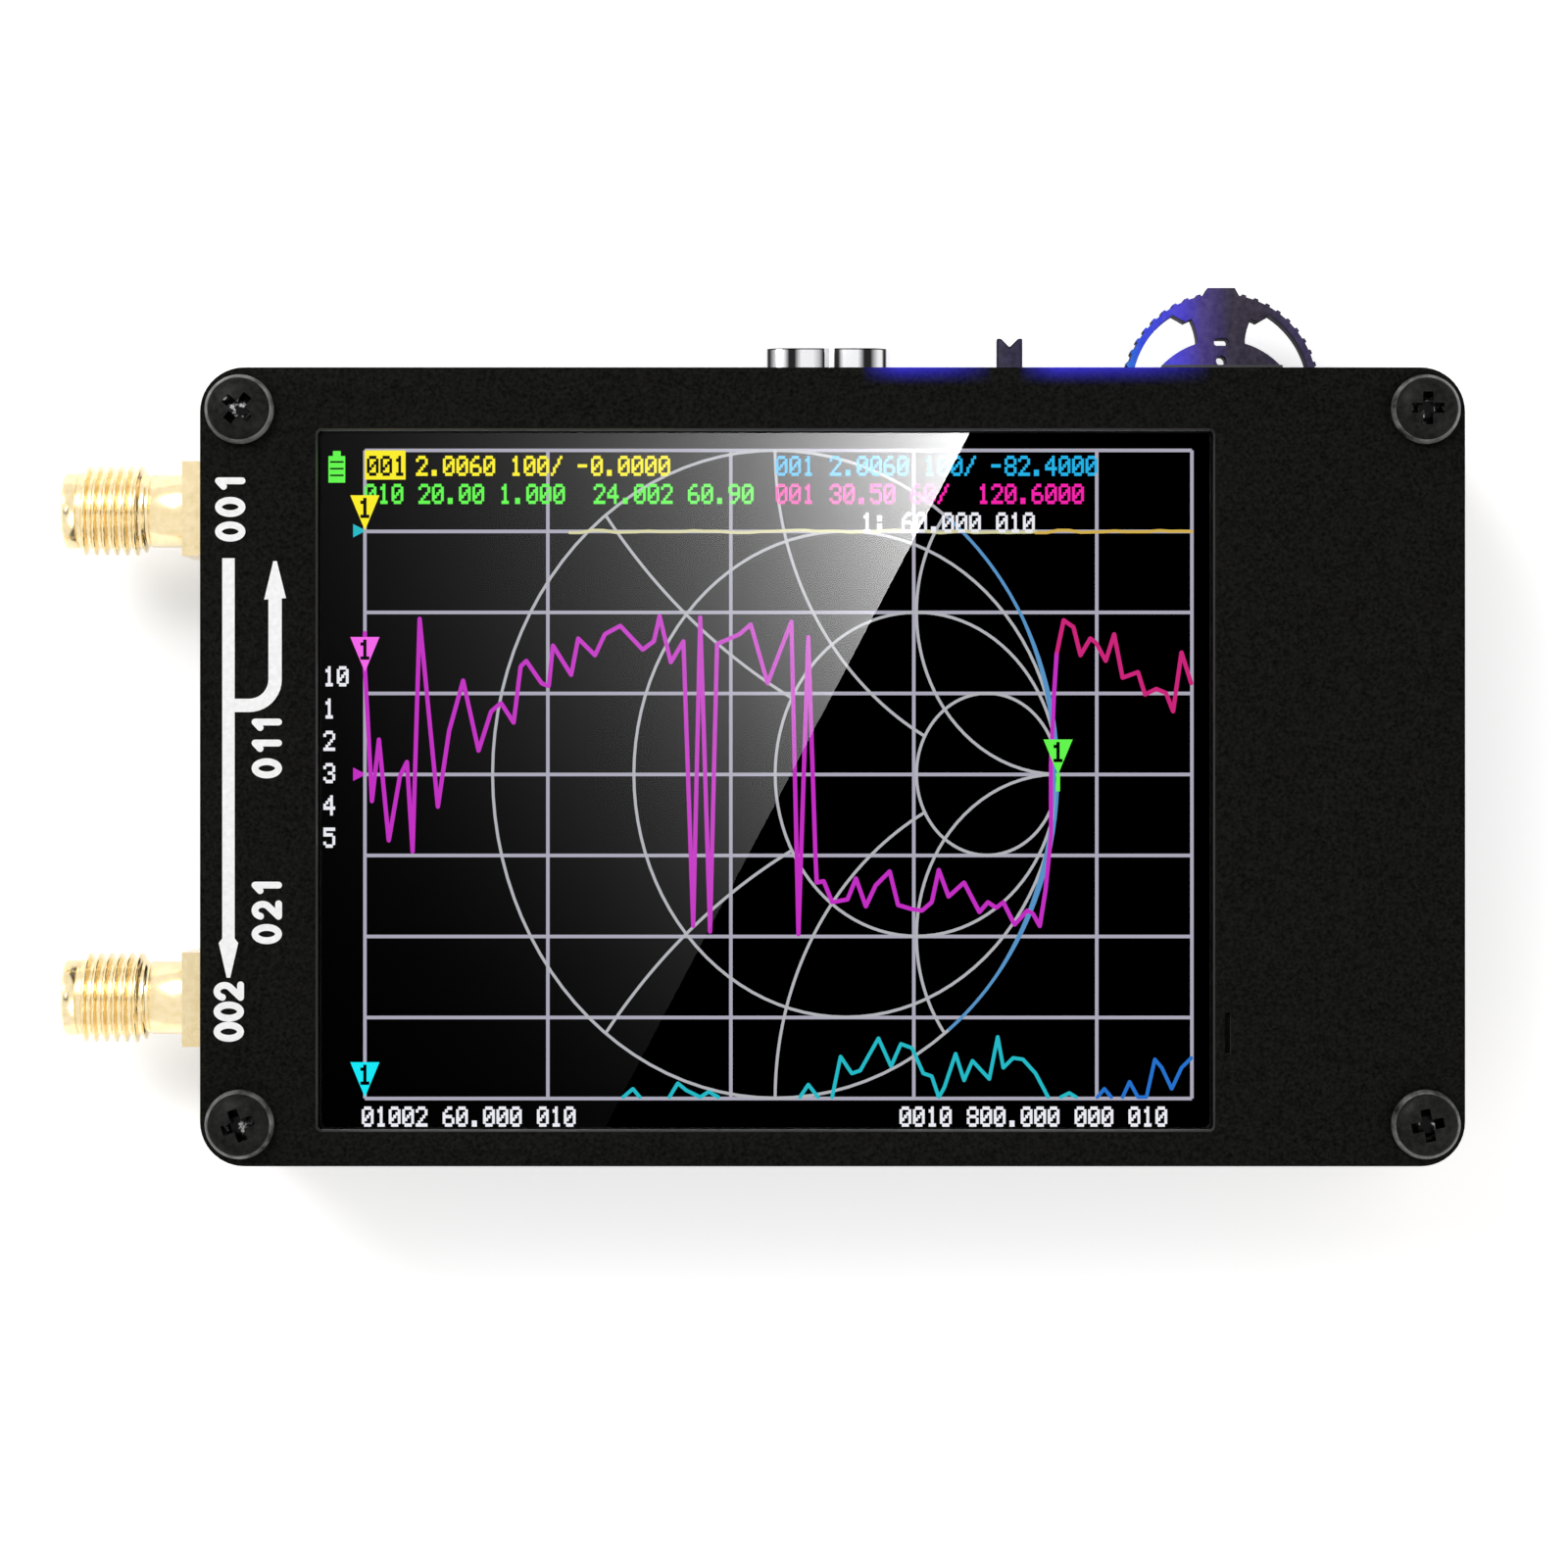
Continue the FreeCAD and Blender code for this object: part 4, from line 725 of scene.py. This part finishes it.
def finish_nodes():
    """Gives every CAD node its finish, and eases the edges of those whose edges show."""
    cut_edge = surface("fibre_edge", (0.014, 0.013, 0.012), (0.06, 0.057, 0.05), 0.7, grain=5000.0,
                       relief=0.5)
    black_steel = surface("black_steel", (0.003, 0.003, 0.003), (0.016, 0.016, 0.0145), 0.38, grain=2200.0,
                          relief=0.3, depth=0.02 * MM, specular=0.07)
    gold = surface("gold_plate", (0.90, 0.72, 0.40), (0.98, 0.82, 0.52), 0.2, metal=1.0, grain=1800.0,
                   relief=0.05)
    steel = brushed("switch_steel", (0.45, 0.45, 0.46), (0.62, 0.62, 0.64), 0.28, 0)
    plain = (
        (surface("foam_tape", (0.01, 0.01, 0.01), (0.05, 0.05, 0.05), 0.9, grain=4000.0, relief=0.6),
         ("lcd_foam_pads", "battery_tape")),
        (surface("guide_white", (0.75, 0.78, 0.8), (0.85, 0.87, 0.9), 0.3), ("backlight_guide",)),
        (surface("cell_black", (0.0006, 0.0006, 0.0008), (0.001, 0.001, 0.0012), 0.5, specular=0.0,
                 relief=0.0),
         ("lcd_cell",)),
        (surface("flex_film", (0.28, 0.1, 0.015), (0.4, 0.16, 0.03), 0.25), ("lcd_flex",)),
        (gold, ("port_1_shell", "port_2_shell", "port_1_contact", "port_2_contact", "usb_contacts")),
        (surface("ptfe_white", (0.8, 0.79, 0.75), (0.88, 0.87, 0.84), 0.55),
         ("port_1_dielectric", "port_2_dielectric")),
        (black_steel, ("front_screws", "back_screws")),
        (steel, ("jog_pivot_pin", "jog_click_dome", "jog_cover", "power_switch_frame")),
        (surface("switch_plastic", (0.03, 0.03, 0.034), (0.05, 0.05, 0.055), 0.5),
         ("power_switch_base", "jog_carriage")),
        (surface("lead_red", (0.4, 0.01, 0.01), (0.5, 0.02, 0.02), 0.4), ("battery_lead_positive",)),
        (surface("lead_black", (0.01, 0.01, 0.01), (0.02, 0.02, 0.02), 0.4), ("battery_lead_negative",)),
        (touch_glass(), ("touch_panel",)),
        (led_resin(), ("status_leds",)),
    )
    for material, nodes in plain:
        for node in nodes:
            dress(node, material)
    board = surface("board_mask", (0.006, 0.007, 0.009), (0.012, 0.013, 0.016), 0.35, grain=1500.0)
    eased("front_panel", lit_plate_mask(), 0.08 * MM, cut_edge)
    eased("back_panel", plate_mask(), 0.08 * MM, cut_edge)
    eased("main_board", board, 0.06 * MM, cut_edge)

    round_edges = (
        (surface("standoff_brass", (0.64, 0.44, 0.18), (0.76, 0.55, 0.25), 0.3, metal=1.0, grain=1200.0,
                 relief=0.03, depth=0.004 * MM),
         SMALL_EDGE, ("front_standoffs", "back_standoffs")),
        (brushed("tray_steel", (0.4, 0.4, 0.4), (0.62, 0.62, 0.62), 0.3, 0), SMALL_EDGE, ("lcd_tray",)),
        (banded_chrome(), FINE_EDGE, ("usb_shell",)),
        (brushed("crystal_lid", (0.6, 0.6, 0.58), (0.75, 0.75, 0.73), 0.2, 0), SMALL_EDGE, ("crystal",)),
        (steel, FINE_EDGE, ("rf_shields",)),
        (surface("moulded_black", (0.012, 0.012, 0.014), (0.024, 0.024, 0.028), 0.4, grain=2200.0,
                 relief=0.12),
         FINE_EDGE, ("jog_base", "usb_tongue")),
        (surface("chip_epoxy", (0.012, 0.012, 0.013), (0.022, 0.022, 0.023), 0.55, relief=0.3),
         FINE_EDGE, ("mixer_chips", "microcontroller", "synthesizer_chip", "codec_chip", "charger_chip",
                     "inductor")),
        (surface("passive_ceramic", (0.3, 0.22, 0.15), (0.42, 0.33, 0.24), 0.5),
         FINE_EDGE, ("board_passives",)),
        (surface("foil_pouch", (0.5, 0.51, 0.53), (0.66, 0.67, 0.69), 0.3, metal=0.9, grain=260.0,
                 relief=0.25, depth=0.05 * MM),
         0.8 * MM, ("battery",)),
        (surface("socket_nylon", (0.62, 0.6, 0.53), (0.72, 0.7, 0.62), 0.45),
         SMALL_EDGE, ("battery_socket", "battery_plug")),
    )
    for material, width, nodes in round_edges:
        for node in nodes:
            eased(node, material, width)
    knob = surface("knob_black", (0.012, 0.009, 0.03), (0.045, 0.036, 0.085), 0.5, grain=2600.0, relief=0.2,
                   specular=0.2)
    dark_edge = surface("moulding_edge", (0.004, 0.003, 0.008), (0.01, 0.008, 0.02), 0.6, specular=0.1)
    for material, node in ((lever_black(), "jog_lever"), (knob, "power_switch_knob")):
        eased(node, material, SMALL_EDGE, dark_edge, 0.97)
    return gold, black_steel


# Coaxial ports

BARREL_L = 8.47 * MM
LEAD_L = 1.0 * MM
LEAD_R = 2.62 * MM
THREAD_START = 1.12 * MM
THREAD_END = 5.72 * MM
THREAD_PITCH = 0.7056 * MM
THREAD_ROOT_R = 2.6 * MM
THREAD_CREST_R = 3.1 * MM
NECK_R = 2.53 * MM
MOUTH_R = 2.31 * MM
MOUTH_DEPTH = 1.93 * MM
CORE_R = 2.05 * MM
PORT_STEPS = 72


def thread_radius(place, turn):
    """The barrel's radius at a place along it and a share of a turn round it."""
    phase = (place / THREAD_PITCH + turn) % 1.0
    flank = 1.0 - abs(2.0 * phase - 1.0)
    height = min(max((flank - 0.38) / 0.42, 0.0), 1.0)
    ends = min((place - THREAD_START) / (0.25 * MM), (THREAD_END - place) / (0.25 * MM), 1.0)
    return THREAD_ROOT_R + (THREAD_CREST_R - THREAD_ROOT_R) * height * max(ends, 0.0)


def barrel_radii():
    """Places along the barrel from its mouth, each with a radius or None where the thread runs."""
    steps = [(0.0, MOUTH_R), (0.0, LEAD_R - 0.14 * MM), (0.14 * MM, LEAD_R), (LEAD_L - 0.06 * MM, LEAD_R),
             (LEAD_L, THREAD_ROOT_R - 0.1 * MM), (THREAD_START, THREAD_ROOT_R - 0.1 * MM)]
    count = round((THREAD_END - THREAD_START) / THREAD_PITCH * 14)
    for k in range(count + 1):
        steps.append((THREAD_START + (THREAD_END - THREAD_START) * k / count, None))
    steps += [(THREAD_END + 0.06 * MM, NECK_R - 0.08 * MM), (THREAD_END + 0.3 * MM, NECK_R - 0.08 * MM),
              (THREAD_END + 0.36 * MM, NECK_R), (BARREL_L, NECK_R)]
    return steps


def build_port(number, gold):
    """The socket's flange and legs as in the CAD, and a threaded barrel in place of the plain one."""
    node = f"port_{number}_shell"
    low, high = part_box(node)
    tip_x = low.x
    flange_x = tip_x + BARREL_L
    axis_y = (low.y + high.y) / 2
    axis_z = (low.z + high.z) / 2
    work = node_copy(node)
    barrel = [f for f in work.faces if min(v.co.x for v in f.verts) < flange_x - 0.01 * MM]
    bmesh.ops.delete(work, geom=barrel, context="FACES")

    def ring(place, radius):
        points = []
        for k in range(PORT_STEPS):
            turn = k / PORT_STEPS
            reach = thread_radius(place, turn) if radius is None else radius
            angle = 2 * math.pi * turn
            points.append((tip_x + place, axis_y + reach * math.cos(angle), axis_z + reach * math.sin(angle)))
        return points

    rings = [ring(place, radius) for place, radius in barrel_radii()]
    rings += [ring(BARREL_L + 0.5 * MM, NECK_R), ring(BARREL_L + 0.5 * MM, CORE_R)]
    rings += [ring(MOUTH_DEPTH, CORE_R), ring(MOUTH_DEPTH, MOUTH_R)]
    ring_surface(work, rings)
    obj = piece(f"port_{number}_threaded", mesh_from(node, work, 34.0), gold)
    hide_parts(node)


# Screws

HEAD_R = 2.35 * MM
HEAD_H = 1.5 * MM
HEAD_RIM_H = 0.35 * MM
HEAD_STEPS = 56
RECESS_REACH = 1.3 * MM
RECESS_HALF = 0.36 * MM
RECESS_FLOOR_REACH = 0.56 * MM
RECESS_FLOOR_HALF = 0.26 * MM
RECESS_DEPTH = 0.95 * MM


def head_profile():
    """The pan head from its foot to its crown: a short rim and a quarter ellipse that flattens on top."""
    points = [(0.0, 0.0), (HEAD_R, 0.0), (HEAD_R, HEAD_RIM_H)]
    steps = 9
    for k in range(1, steps + 1):
        angle = math.pi / 2 * k / steps
        points.append((HEAD_R * math.cos(angle) ** 0.8 if k < steps else 0.0,
                       HEAD_RIM_H + (HEAD_H - HEAD_RIM_H) * math.sin(angle)))
    return points


def revolve_up(work, profile, centre, up, steps):
    """A closed solid turned about an upright axis; points on the axis become poles."""
    rows = []
    for radius, height in profile:
        z = centre.z + up * height
        if radius < 1e-9:
            rows.append([work.verts.new((centre.x, centre.y, z))])
            continue
        rows.append([
            work.verts.new((centre.x + radius * math.cos(2 * math.pi * k / steps),
                            centre.y + radius * math.sin(2 * math.pi * k / steps), z))
            for k in range(steps)
        ])
    for near, far in zip(rows, rows[1:]):
        for k in range(steps):
            follow = (k + 1) % steps
            corners = (near[k % len(near)], near[follow % len(near)],
                       far[follow % len(far)], far[k % len(far)])
            work.faces.new(list(dict.fromkeys(corners)))


def recess_blade(centre, up, angle):
    """One blade of the cross that is cut into a head, narrower towards the bottom of the recess."""
    work = bmesh.new()
    top = centre.z + up * (HEAD_H + 0.2 * MM)
    floor = centre.z + up * (HEAD_H - RECESS_DEPTH)
    c = math.cos(angle)
    s = math.sin(angle)
    corners = []
    for z, reach, half in ((top, RECESS_REACH, RECESS_HALF), (floor, RECESS_FLOOR_REACH, RECESS_FLOOR_HALF)):
        for sx, sy in ((-1, -1), (1, -1), (1, 1), (-1, 1)):
            x = sx * reach
            y = sy * half
            corners.append(work.verts.new((centre.x + x * c - y * s, centre.y + x * s + y * c, z)))
    for loop in ((0, 1, 2, 3), (4, 5, 6, 7), (0, 1, 5, 4), (1, 2, 6, 5), (2, 3, 7, 6), (3, 0, 4, 7)):
        work.faces.new([corners[i] for i in loop])
    bmesh.ops.recalc_face_normals(work, faces=work.faces)
    mesh = bpy.data.meshes.new("blade")
    work.to_mesh(mesh)
    work.free()
    return mesh


def carve(target, cutter_meshes):
    """Cuts meshes out of an object and keeps the result as its mesh."""
    for mesh in cutter_meshes:
        cutter = add_object("cutter", mesh)
        modifier = target.modifiers.new("cut", "BOOLEAN")
        modifier.object = cutter
        modifier.operation = "DIFFERENCE"
        modifier.solver = "EXACT"
        modifier.use_self = True
        graph = bpy.context.evaluated_depsgraph_get()
        result = bpy.data.meshes.new_from_object(target.evaluated_get(graph))
        target.modifiers.clear()
        target.data = result
        bpy.data.objects.remove(cutter)


def screw_centres(node):
    low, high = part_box(node)
    return [(x, y) for x in (low.x + HEAD_R, high.x - HEAD_R) for y in (low.y + HEAD_R, high.y - HEAD_R)]


SHANK_R = 1.21 * MM
SHANK_SINK = 0.02 * MM
SCREW_TURNS = (0.35, 0.9, 0.2, 0.0)
RIM_SHARE = 0.915


def glinting_steel():
    """Steel in the recess, its colour painted bright in a few spots as glints."""
    material, tree, shader = new_material("recess_steel_painted_glints")
    set_sockets(shader, {"Metallic": 1.0, "Roughness": 0.25})
    tree.links.new(ramp(tree, noise(tree, 1500.0), ((0.55, (0.01,) * 3), (0.66, (0.5,) * 3))),
                   shader.inputs["Base Color"])
    return material


def mark_head(mesh, centre, up):
    """Slot 1 for the rim's painted highlight and slot 2 for the recess's painted glints, on a head whose
    other faces keep slot 0.
    """
    floor = HEAD_H - RECESS_DEPTH - 0.02 * MM
    for polygon in mesh.polygons:
        across = (polygon.center - centre).to_2d().length
        height = (polygon.center.z - centre.z) * up
        crown = HEAD_RIM_H + (HEAD_H - HEAD_RIM_H) * math.sqrt(max(0.0, 1.0 - (across / HEAD_R) ** 2.5))
        if across > RIM_SHARE * HEAD_R and polygon.normal.z * up > 0.05:
            polygon.material_index = 1
        elif floor < height < crown - 0.15 * MM and across < RECESS_REACH:
            polygon.material_index = 2


def build_screws(node, materials):
    """Four smooth pan heads with tapered cross recesses, on short shanks that stay inside the plates."""
    low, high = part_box(node)
    up = 1 if node == "front_screws" else -1
    base_z = high.z - HEAD_H if up > 0 else low.z + HEAD_H
    shank_end = (low.z - base_z) if up > 0 else (base_z - high.z)
    for number, (centre_xy, turn) in enumerate(zip(screw_centres(node), SCREW_TURNS), start=1):
        centre = Vector((*centre_xy, base_z))
        work = bmesh.new()
        revolve_up(work, head_profile(), centre, up, HEAD_STEPS)
        obj = piece(f"{node}_head_{number}", mesh_from("head", work), materials[0])
        carve(obj, [recess_blade(centre, up, turn), recess_blade(centre, up, turn + math.pi / 2)])
        work = bmesh.new()
        work.from_mesh(obj.data)
        shank = [(0.0, shank_end), (SHANK_R, shank_end), (SHANK_R, SHANK_SINK), (0.0, SHANK_SINK)]
        revolve_up(work, shank, centre, up, 24)
        obj.data = mesh_from(f"{node}_head_{number}", work, 28.0)
        obj.data.materials.clear()
        for material in materials:
            obj.data.materials.append(material)
        mark_head(obj.data, centre, up)
        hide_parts(node)


# Printed signs on the front plate

PRINT_LIFT = 0.02 * MM
MAIN_BAR_W = 0.84
BRANCH_BAR_W = 0.9
MAIN_BAR_X = -40.82
MAIN_BAR_TOP = 14.1
MAIN_HEAD_Y = -11.6
MAIN_TIP_Y = -14.25
BRANCH_X = -37.67
BRANCH_Y = 4.15
BRANCH_BEND_R = 1.75
BRANCH_HEAD_Y = 11.4
BRANCH_TIP_Y = 13.9
ARROW_HALF_W = 0.66
BRANCH_ARROW_HALF_W = 0.74
TIP_HALF_W = 0.12
FIGURE_H = 1.6
FIGURE_W = 0.9
NARROW_ONE = 0.18
FIGURE_STROKE = 0.46


def plate_point(x, y):
    """A place on the front plate's face, in millimetres from the plate's centre."""
    return Vector((PLATE_X + x * MM, PLATE_Y + y * MM, PLATE_TOP + PRINT_LIFT))


def figure_stroke(figure):
    """The pen stroke of a figure, in a box 1 wide and 1 high."""
    if figure == "0":
        return [(0.5 + 0.5 * math.cos(a), 0.5 + 0.5 * math.sin(a))
                for a in (2 * math.pi * k / 24 for k in range(25))]
    if figure == "1":
        return [(0.2, 0.78), (0.62, 1.0), (0.62, 0.0)]
    arc = [(0.5 + 0.46 * math.cos(a), 0.68 + 0.32 * math.sin(a))
           for a in (math.radians(165 - 15 * k) for k in range(15))]
    return arc + [(0.05, 0.0), (1.0, 0.0)]


def printed_number(figures, right_x, low_y, step):
    """Figures that read upwards along the plate's left edge."""
    quads = []
    for figure in figures:
        points = [plate_point(right_x - v * FIGURE_H, low_y + u * FIGURE_W)
                  for u, v in figure_stroke(figure)]
        quads += stroke(points, FIGURE_STROKE * MM)
        low_y += step - NARROW_ONE if figure == "1" else step
    return quads


def printed_arrows():
    main = [plate_point(MAIN_BAR_X, MAIN_BAR_TOP), plate_point(MAIN_BAR_X, MAIN_HEAD_Y)]
    quads = ribbon(main, MAIN_BAR_W * MM)
    quads.append(tuple(plate_point(x, y) for x, y in (
        (MAIN_BAR_X - ARROW_HALF_W, MAIN_HEAD_Y - 0.3), (MAIN_BAR_X - MAIN_BAR_W / 2, MAIN_HEAD_Y),
        (MAIN_BAR_X + MAIN_BAR_W / 2, MAIN_HEAD_Y), (MAIN_BAR_X + ARROW_HALF_W, MAIN_HEAD_Y - 0.3),
        (MAIN_BAR_X + TIP_HALF_W, MAIN_TIP_Y), (MAIN_BAR_X - TIP_HALF_W, MAIN_TIP_Y))))
    bend = [plate_point(BRANCH_X - BRANCH_BEND_R + BRANCH_BEND_R * math.cos(a),
                        BRANCH_Y + BRANCH_BEND_R + BRANCH_BEND_R * math.sin(a))
            for a in (math.radians(-90 + 9 * k) for k in range(11))]
    branch = [plate_point(MAIN_BAR_X, BRANCH_Y)] + bend + [plate_point(BRANCH_X, BRANCH_HEAD_Y)]
    quads += ribbon(branch, BRANCH_BAR_W * MM)
    quads.append(tuple(plate_point(x, y) for x, y in (
        (BRANCH_X + BRANCH_ARROW_HALF_W, BRANCH_HEAD_Y), (BRANCH_X + TIP_HALF_W, BRANCH_TIP_Y),
        (BRANCH_X - TIP_HALF_W, BRANCH_TIP_Y), (BRANCH_X - BRANCH_ARROW_HALF_W, BRANCH_HEAD_Y - 0.1))))
    return quads


def build_prints():
    white = surface("print_white", (0.78, 0.78, 0.78), (0.9, 0.9, 0.9), 0.55, grain=2600.0, relief=0.2)
    piece("print_arrows", flat_sheet("print_arrows", printed_arrows()), white)
    numbers = (
        ("001", -39.9, 15.45, 1.66),
        ("011", -37.43, -0.55, 1.6),
        ("021", -37.43, -11.75, 1.6),
        ("002", -40.0, -18.35, 1.36),
    )
    for figures, right_x, low_y, step in numbers:
        name = "print_" + figures
        piece(name, flat_sheet(name, printed_number(figures, right_x, low_y, step)), white)


# Small parts between the plates

SEAM_HALF_W = 0.16 * MM
SEAM_TOP = 0.02 * MM
SEAM_BOTTOM = 0.28 * MM


def box_mesh(work, low, high):
    corners = [work.verts.new((x, y, z)) for x in (low[0], high[0]) for y in (low[1], high[1])
               for z in (low[2], high[2])]
    for loop in ((0, 1, 3, 2), (4, 6, 7, 5), (0, 4, 5, 1), (2, 3, 7, 6), (0, 2, 6, 4), (1, 5, 7, 3)):
        work.faces.new([corners[i] for i in loop])


def build_usb_seam():
    """The folded seam down the middle of the socket's shell, just under its upper face, painted bright as a
    highlight.
    """
    low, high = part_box("usb_shell")
    middle = (low.x + high.x) / 2
    bright = surface("seam_painted_highlight", (0.85, 0.85, 0.86), (0.95, 0.95, 0.96), 0.35)
    work = bmesh.new()
    box_mesh(work, (middle - SEAM_HALF_W, low.y, high.z - SEAM_BOTTOM),
             (middle + SEAM_HALF_W, high.y, high.z - SEAM_TOP))
    piece("usb_seam", mesh_from("usb_seam", work), bright)


# Studio

def light(name, size, place, power):
    """A square lamp that shines on the object."""
    data = bpy.data.lights.new(name, "AREA")
    data.shape = "RECTANGLE"
    data.size = size
    data.size_y = size
    data.energy = power
    obj = add_object(name, data)
    obj.location = place
    obj.rotation_euler = (-Vector(place)).to_track_quat("-Z", "Y").to_euler()


FLOOR_LIFT = 0.4
FLOOR_REACH = 1.5
FLOOR_DROP = 0.05 * MM


def seen_directly(tree):
    """1 for what the camera, metal or glass sees, and 0 for light that falls on the object."""
    rays = tree.nodes.new("ShaderNodeLightPath")
    seen = rays.outputs["Is Camera Ray"]
    for name in ("Is Glossy Ray", "Is Transmission Ray"):
        seen = math_node(tree, "MAXIMUM", seen, rays.outputs[name])
    return seen


def flat_face(name, corners, material):
    mesh = bpy.data.meshes.new(name)
    mesh.from_pydata([(x, y, 0.0) for x, y in corners], [], [tuple(range(len(corners)))])
    mesh.materials.append(material)
    return add_object(name, mesh)


def build_floor():
    """A pale floor that takes the shadows."""
    material, tree, shader = new_material("floor_white")
    set_sockets(shader, {"Base Color": (0.95, 0.95, 0.95, 1.0), "Roughness": 0.9, "Emission Color": WHITE})
    tree.links.new(spread(tree, seen_directly(tree), 0.0, FLOOR_LIFT), shader.inputs["Emission Strength"])
    corners = [(x * FLOOR_REACH, y * FLOOR_REACH) for x, y in ((-1, -1), (1, -1), (1, 1), (-1, 1))]
    floor = flat_face("floor", corners, material)
    floor.location.z = -FLOOR_DROP


def build_world():
    """White to the camera and in metal and glass, and a soft even light on everything else."""
    world = bpy.data.worlds.new("studio")
    bpy.context.scene.world = world
    world.use_nodes = True
    tree = world.node_tree
    soft = tree.nodes["Background"]
    white = tree.nodes.new("ShaderNodeBackground")
    for background, strength in ((soft, 0.5), (white, 1.0)):
        set_sockets(background, {"Color": WHITE, "Strength": strength})
    mix = tree.nodes.new("ShaderNodeMixShader")
    tree.links.new(seen_directly(tree), mix.inputs["Fac"])
    tree.links.new(soft.outputs["Background"], mix.inputs[1])
    tree.links.new(white.outputs["Background"], mix.inputs[2])
    tree.links.new(mix.outputs["Shader"], tree.nodes["World Output"].inputs["Surface"])


# What the display's glass mirrors: a dark card with a bright sloping panel on its left

CARD_RISE = 320 * MM
WEDGE_TOP = (12.64, 23.88)
WEDGE_FOOT = (-12.37, -23.75)
CARD_HALF_W = 36.0
CARD_HALF_H = 27.0
WEDGE_LEVEL = 2.03
WEDGE_FADE = 7.5
WEDGE_RISE = 0.115
WEDGE_BEND = 0.001
WEDGE_MIDDLE = 10.0
CARD_SHIFT_X = 2.9


def build_mirror_card():
    """The card hangs above the camera, drawn in millimetres of the glass as the camera sees them."""
    camera_x = PLATE_X + CAMERA_OFFSET_X
    camera_y = PLATE_Y + CAMERA_OFFSET_Y
    above = PLATE_TOP + CAMERA_DISTANCE - GLASS_TOP
    scale = (above + CARD_RISE) / above
    top = Vector((*WEDGE_TOP, 0.0))
    foot = Vector((*WEDGE_FOOT, 0.0))
    slope = (top - foot).normalized()
    outward = Vector((-slope.y, slope.x, 0.0))
    upper = top + slope * (CARD_HALF_H - WEDGE_TOP[1]) / slope.y
    lower = foot - slope * (CARD_HALF_H + WEDGE_FOOT[1]) / slope.y
    left = CARD_SHIFT_X - CARD_HALF_W
    right = CARD_SHIFT_X + CARD_HALF_W
    bright = [(left, -CARD_HALF_H), (lower.x, -CARD_HALF_H), (upper.x, CARD_HALF_H), (left, CARD_HALF_H)]
    dark = [(lower.x, -CARD_HALF_H), (right, -CARD_HALF_H), (right, CARD_HALF_H), (upper.x, CARD_HALF_H)]
    for name, corners, material in (
        ("card_bright", bright, wedge_light(top, outward)),
        ("card_dark", dark, glowing("card_black", NONE, 0.0)),
    ):
        card = flat_face(name, corners, material)
        card.location = (camera_x, camera_y, GLASS_TOP + CARD_RISE)
        card.scale = (scale * MM, scale * MM, 1.0)
        card.visible_camera = False
        card.visible_diffuse = False
        card.visible_shadow = False
        card.visible_transmission = False


def wedge_light(top, outward):
    """Light that fades from the card's upper right corner, quickly to the left and slowly downwards."""
    material = bpy.data.materials.new("card_light")
    material.use_nodes = True
    tree = material.node_tree
    tree.nodes.clear()
    place = object_coordinates(tree)

    def distance_along(direction, origin):
        dot = tree.nodes.new("ShaderNodeVectorMath")
        dot.operation = "DOT_PRODUCT"
        tree.links.new(place, dot.inputs[0])
        dot.inputs[1].default_value = direction
        return math_node(tree, "SUBTRACT", dot.outputs["Value"], direction.dot(origin))

    leftward = math_node(tree, "MAXIMUM", distance_along(outward, top), 0.0)
    height = distance_along(Vector((0, 1, 0)), Vector((0, WEDGE_MIDDLE, 0)))
    slope = math_node(tree, "SUBTRACT", WEDGE_RISE, math_node(tree, "MULTIPLY", height, WEDGE_BEND))
    rise = math_node(tree, "MULTIPLY", height, slope)
    level = math_node(tree, "ADD", math_node(tree, "MULTIPLY", leftward, -1.0 / WEDGE_FADE), WEDGE_LEVEL)
    total = math_node(tree, "POWER", math.e, math_node(tree, "ADD", level, rise))
    emission = tree.nodes.new("ShaderNodeEmission")
    output = tree.nodes.new("ShaderNodeOutputMaterial")
    tree.links.new(total, emission.inputs["Strength"])
    tree.links.new(emission.outputs["Emission"], output.inputs["Surface"])
    return material


def build_studio():
    build_floor()
    build_world()
    build_mirror_card()
    light("key", 0.3, (-0.25, 0.3, 0.45), 1.9)
    light("fill", 0.4, (0.35, -0.25, 0.4), 0.8)


def build_camera():
    data = bpy.data.cameras.new("camera")
    camera = add_object("camera", data)
    camera.location = (PLATE_X + CAMERA_OFFSET_X, PLATE_Y + CAMERA_OFFSET_Y, PLATE_TOP + CAMERA_DISTANCE)
    data.sensor_width = SENSOR_WIDTH
    data.lens = SENSOR_WIDTH * CAMERA_DISTANCE / FIELD_WIDTH
    data.clip_start = 0.01
    bpy.context.scene.camera = camera


gold_plate, screw_black = finish_nodes()
for port in (1, 2):
    build_port(port, gold_plate)
# The screws' finishes: black steel, a painted highlight on the rim, and painted glints in the recess
screw_finishes = (
    screw_black,
    surface("rim_painted_highlight", (0.003, 0.003, 0.003), (0.24, 0.24, 0.235), 0.4, grain=800.0, specular=0.2),
    glinting_steel(),
)
build_screws("front_screws", screw_finishes)
build_screws("back_screws", screw_finishes)
build_usb_seam()
build_prints()
build_display()
build_studio()
build_camera()
bpy.context.scene.view_settings.view_transform = "Standard"
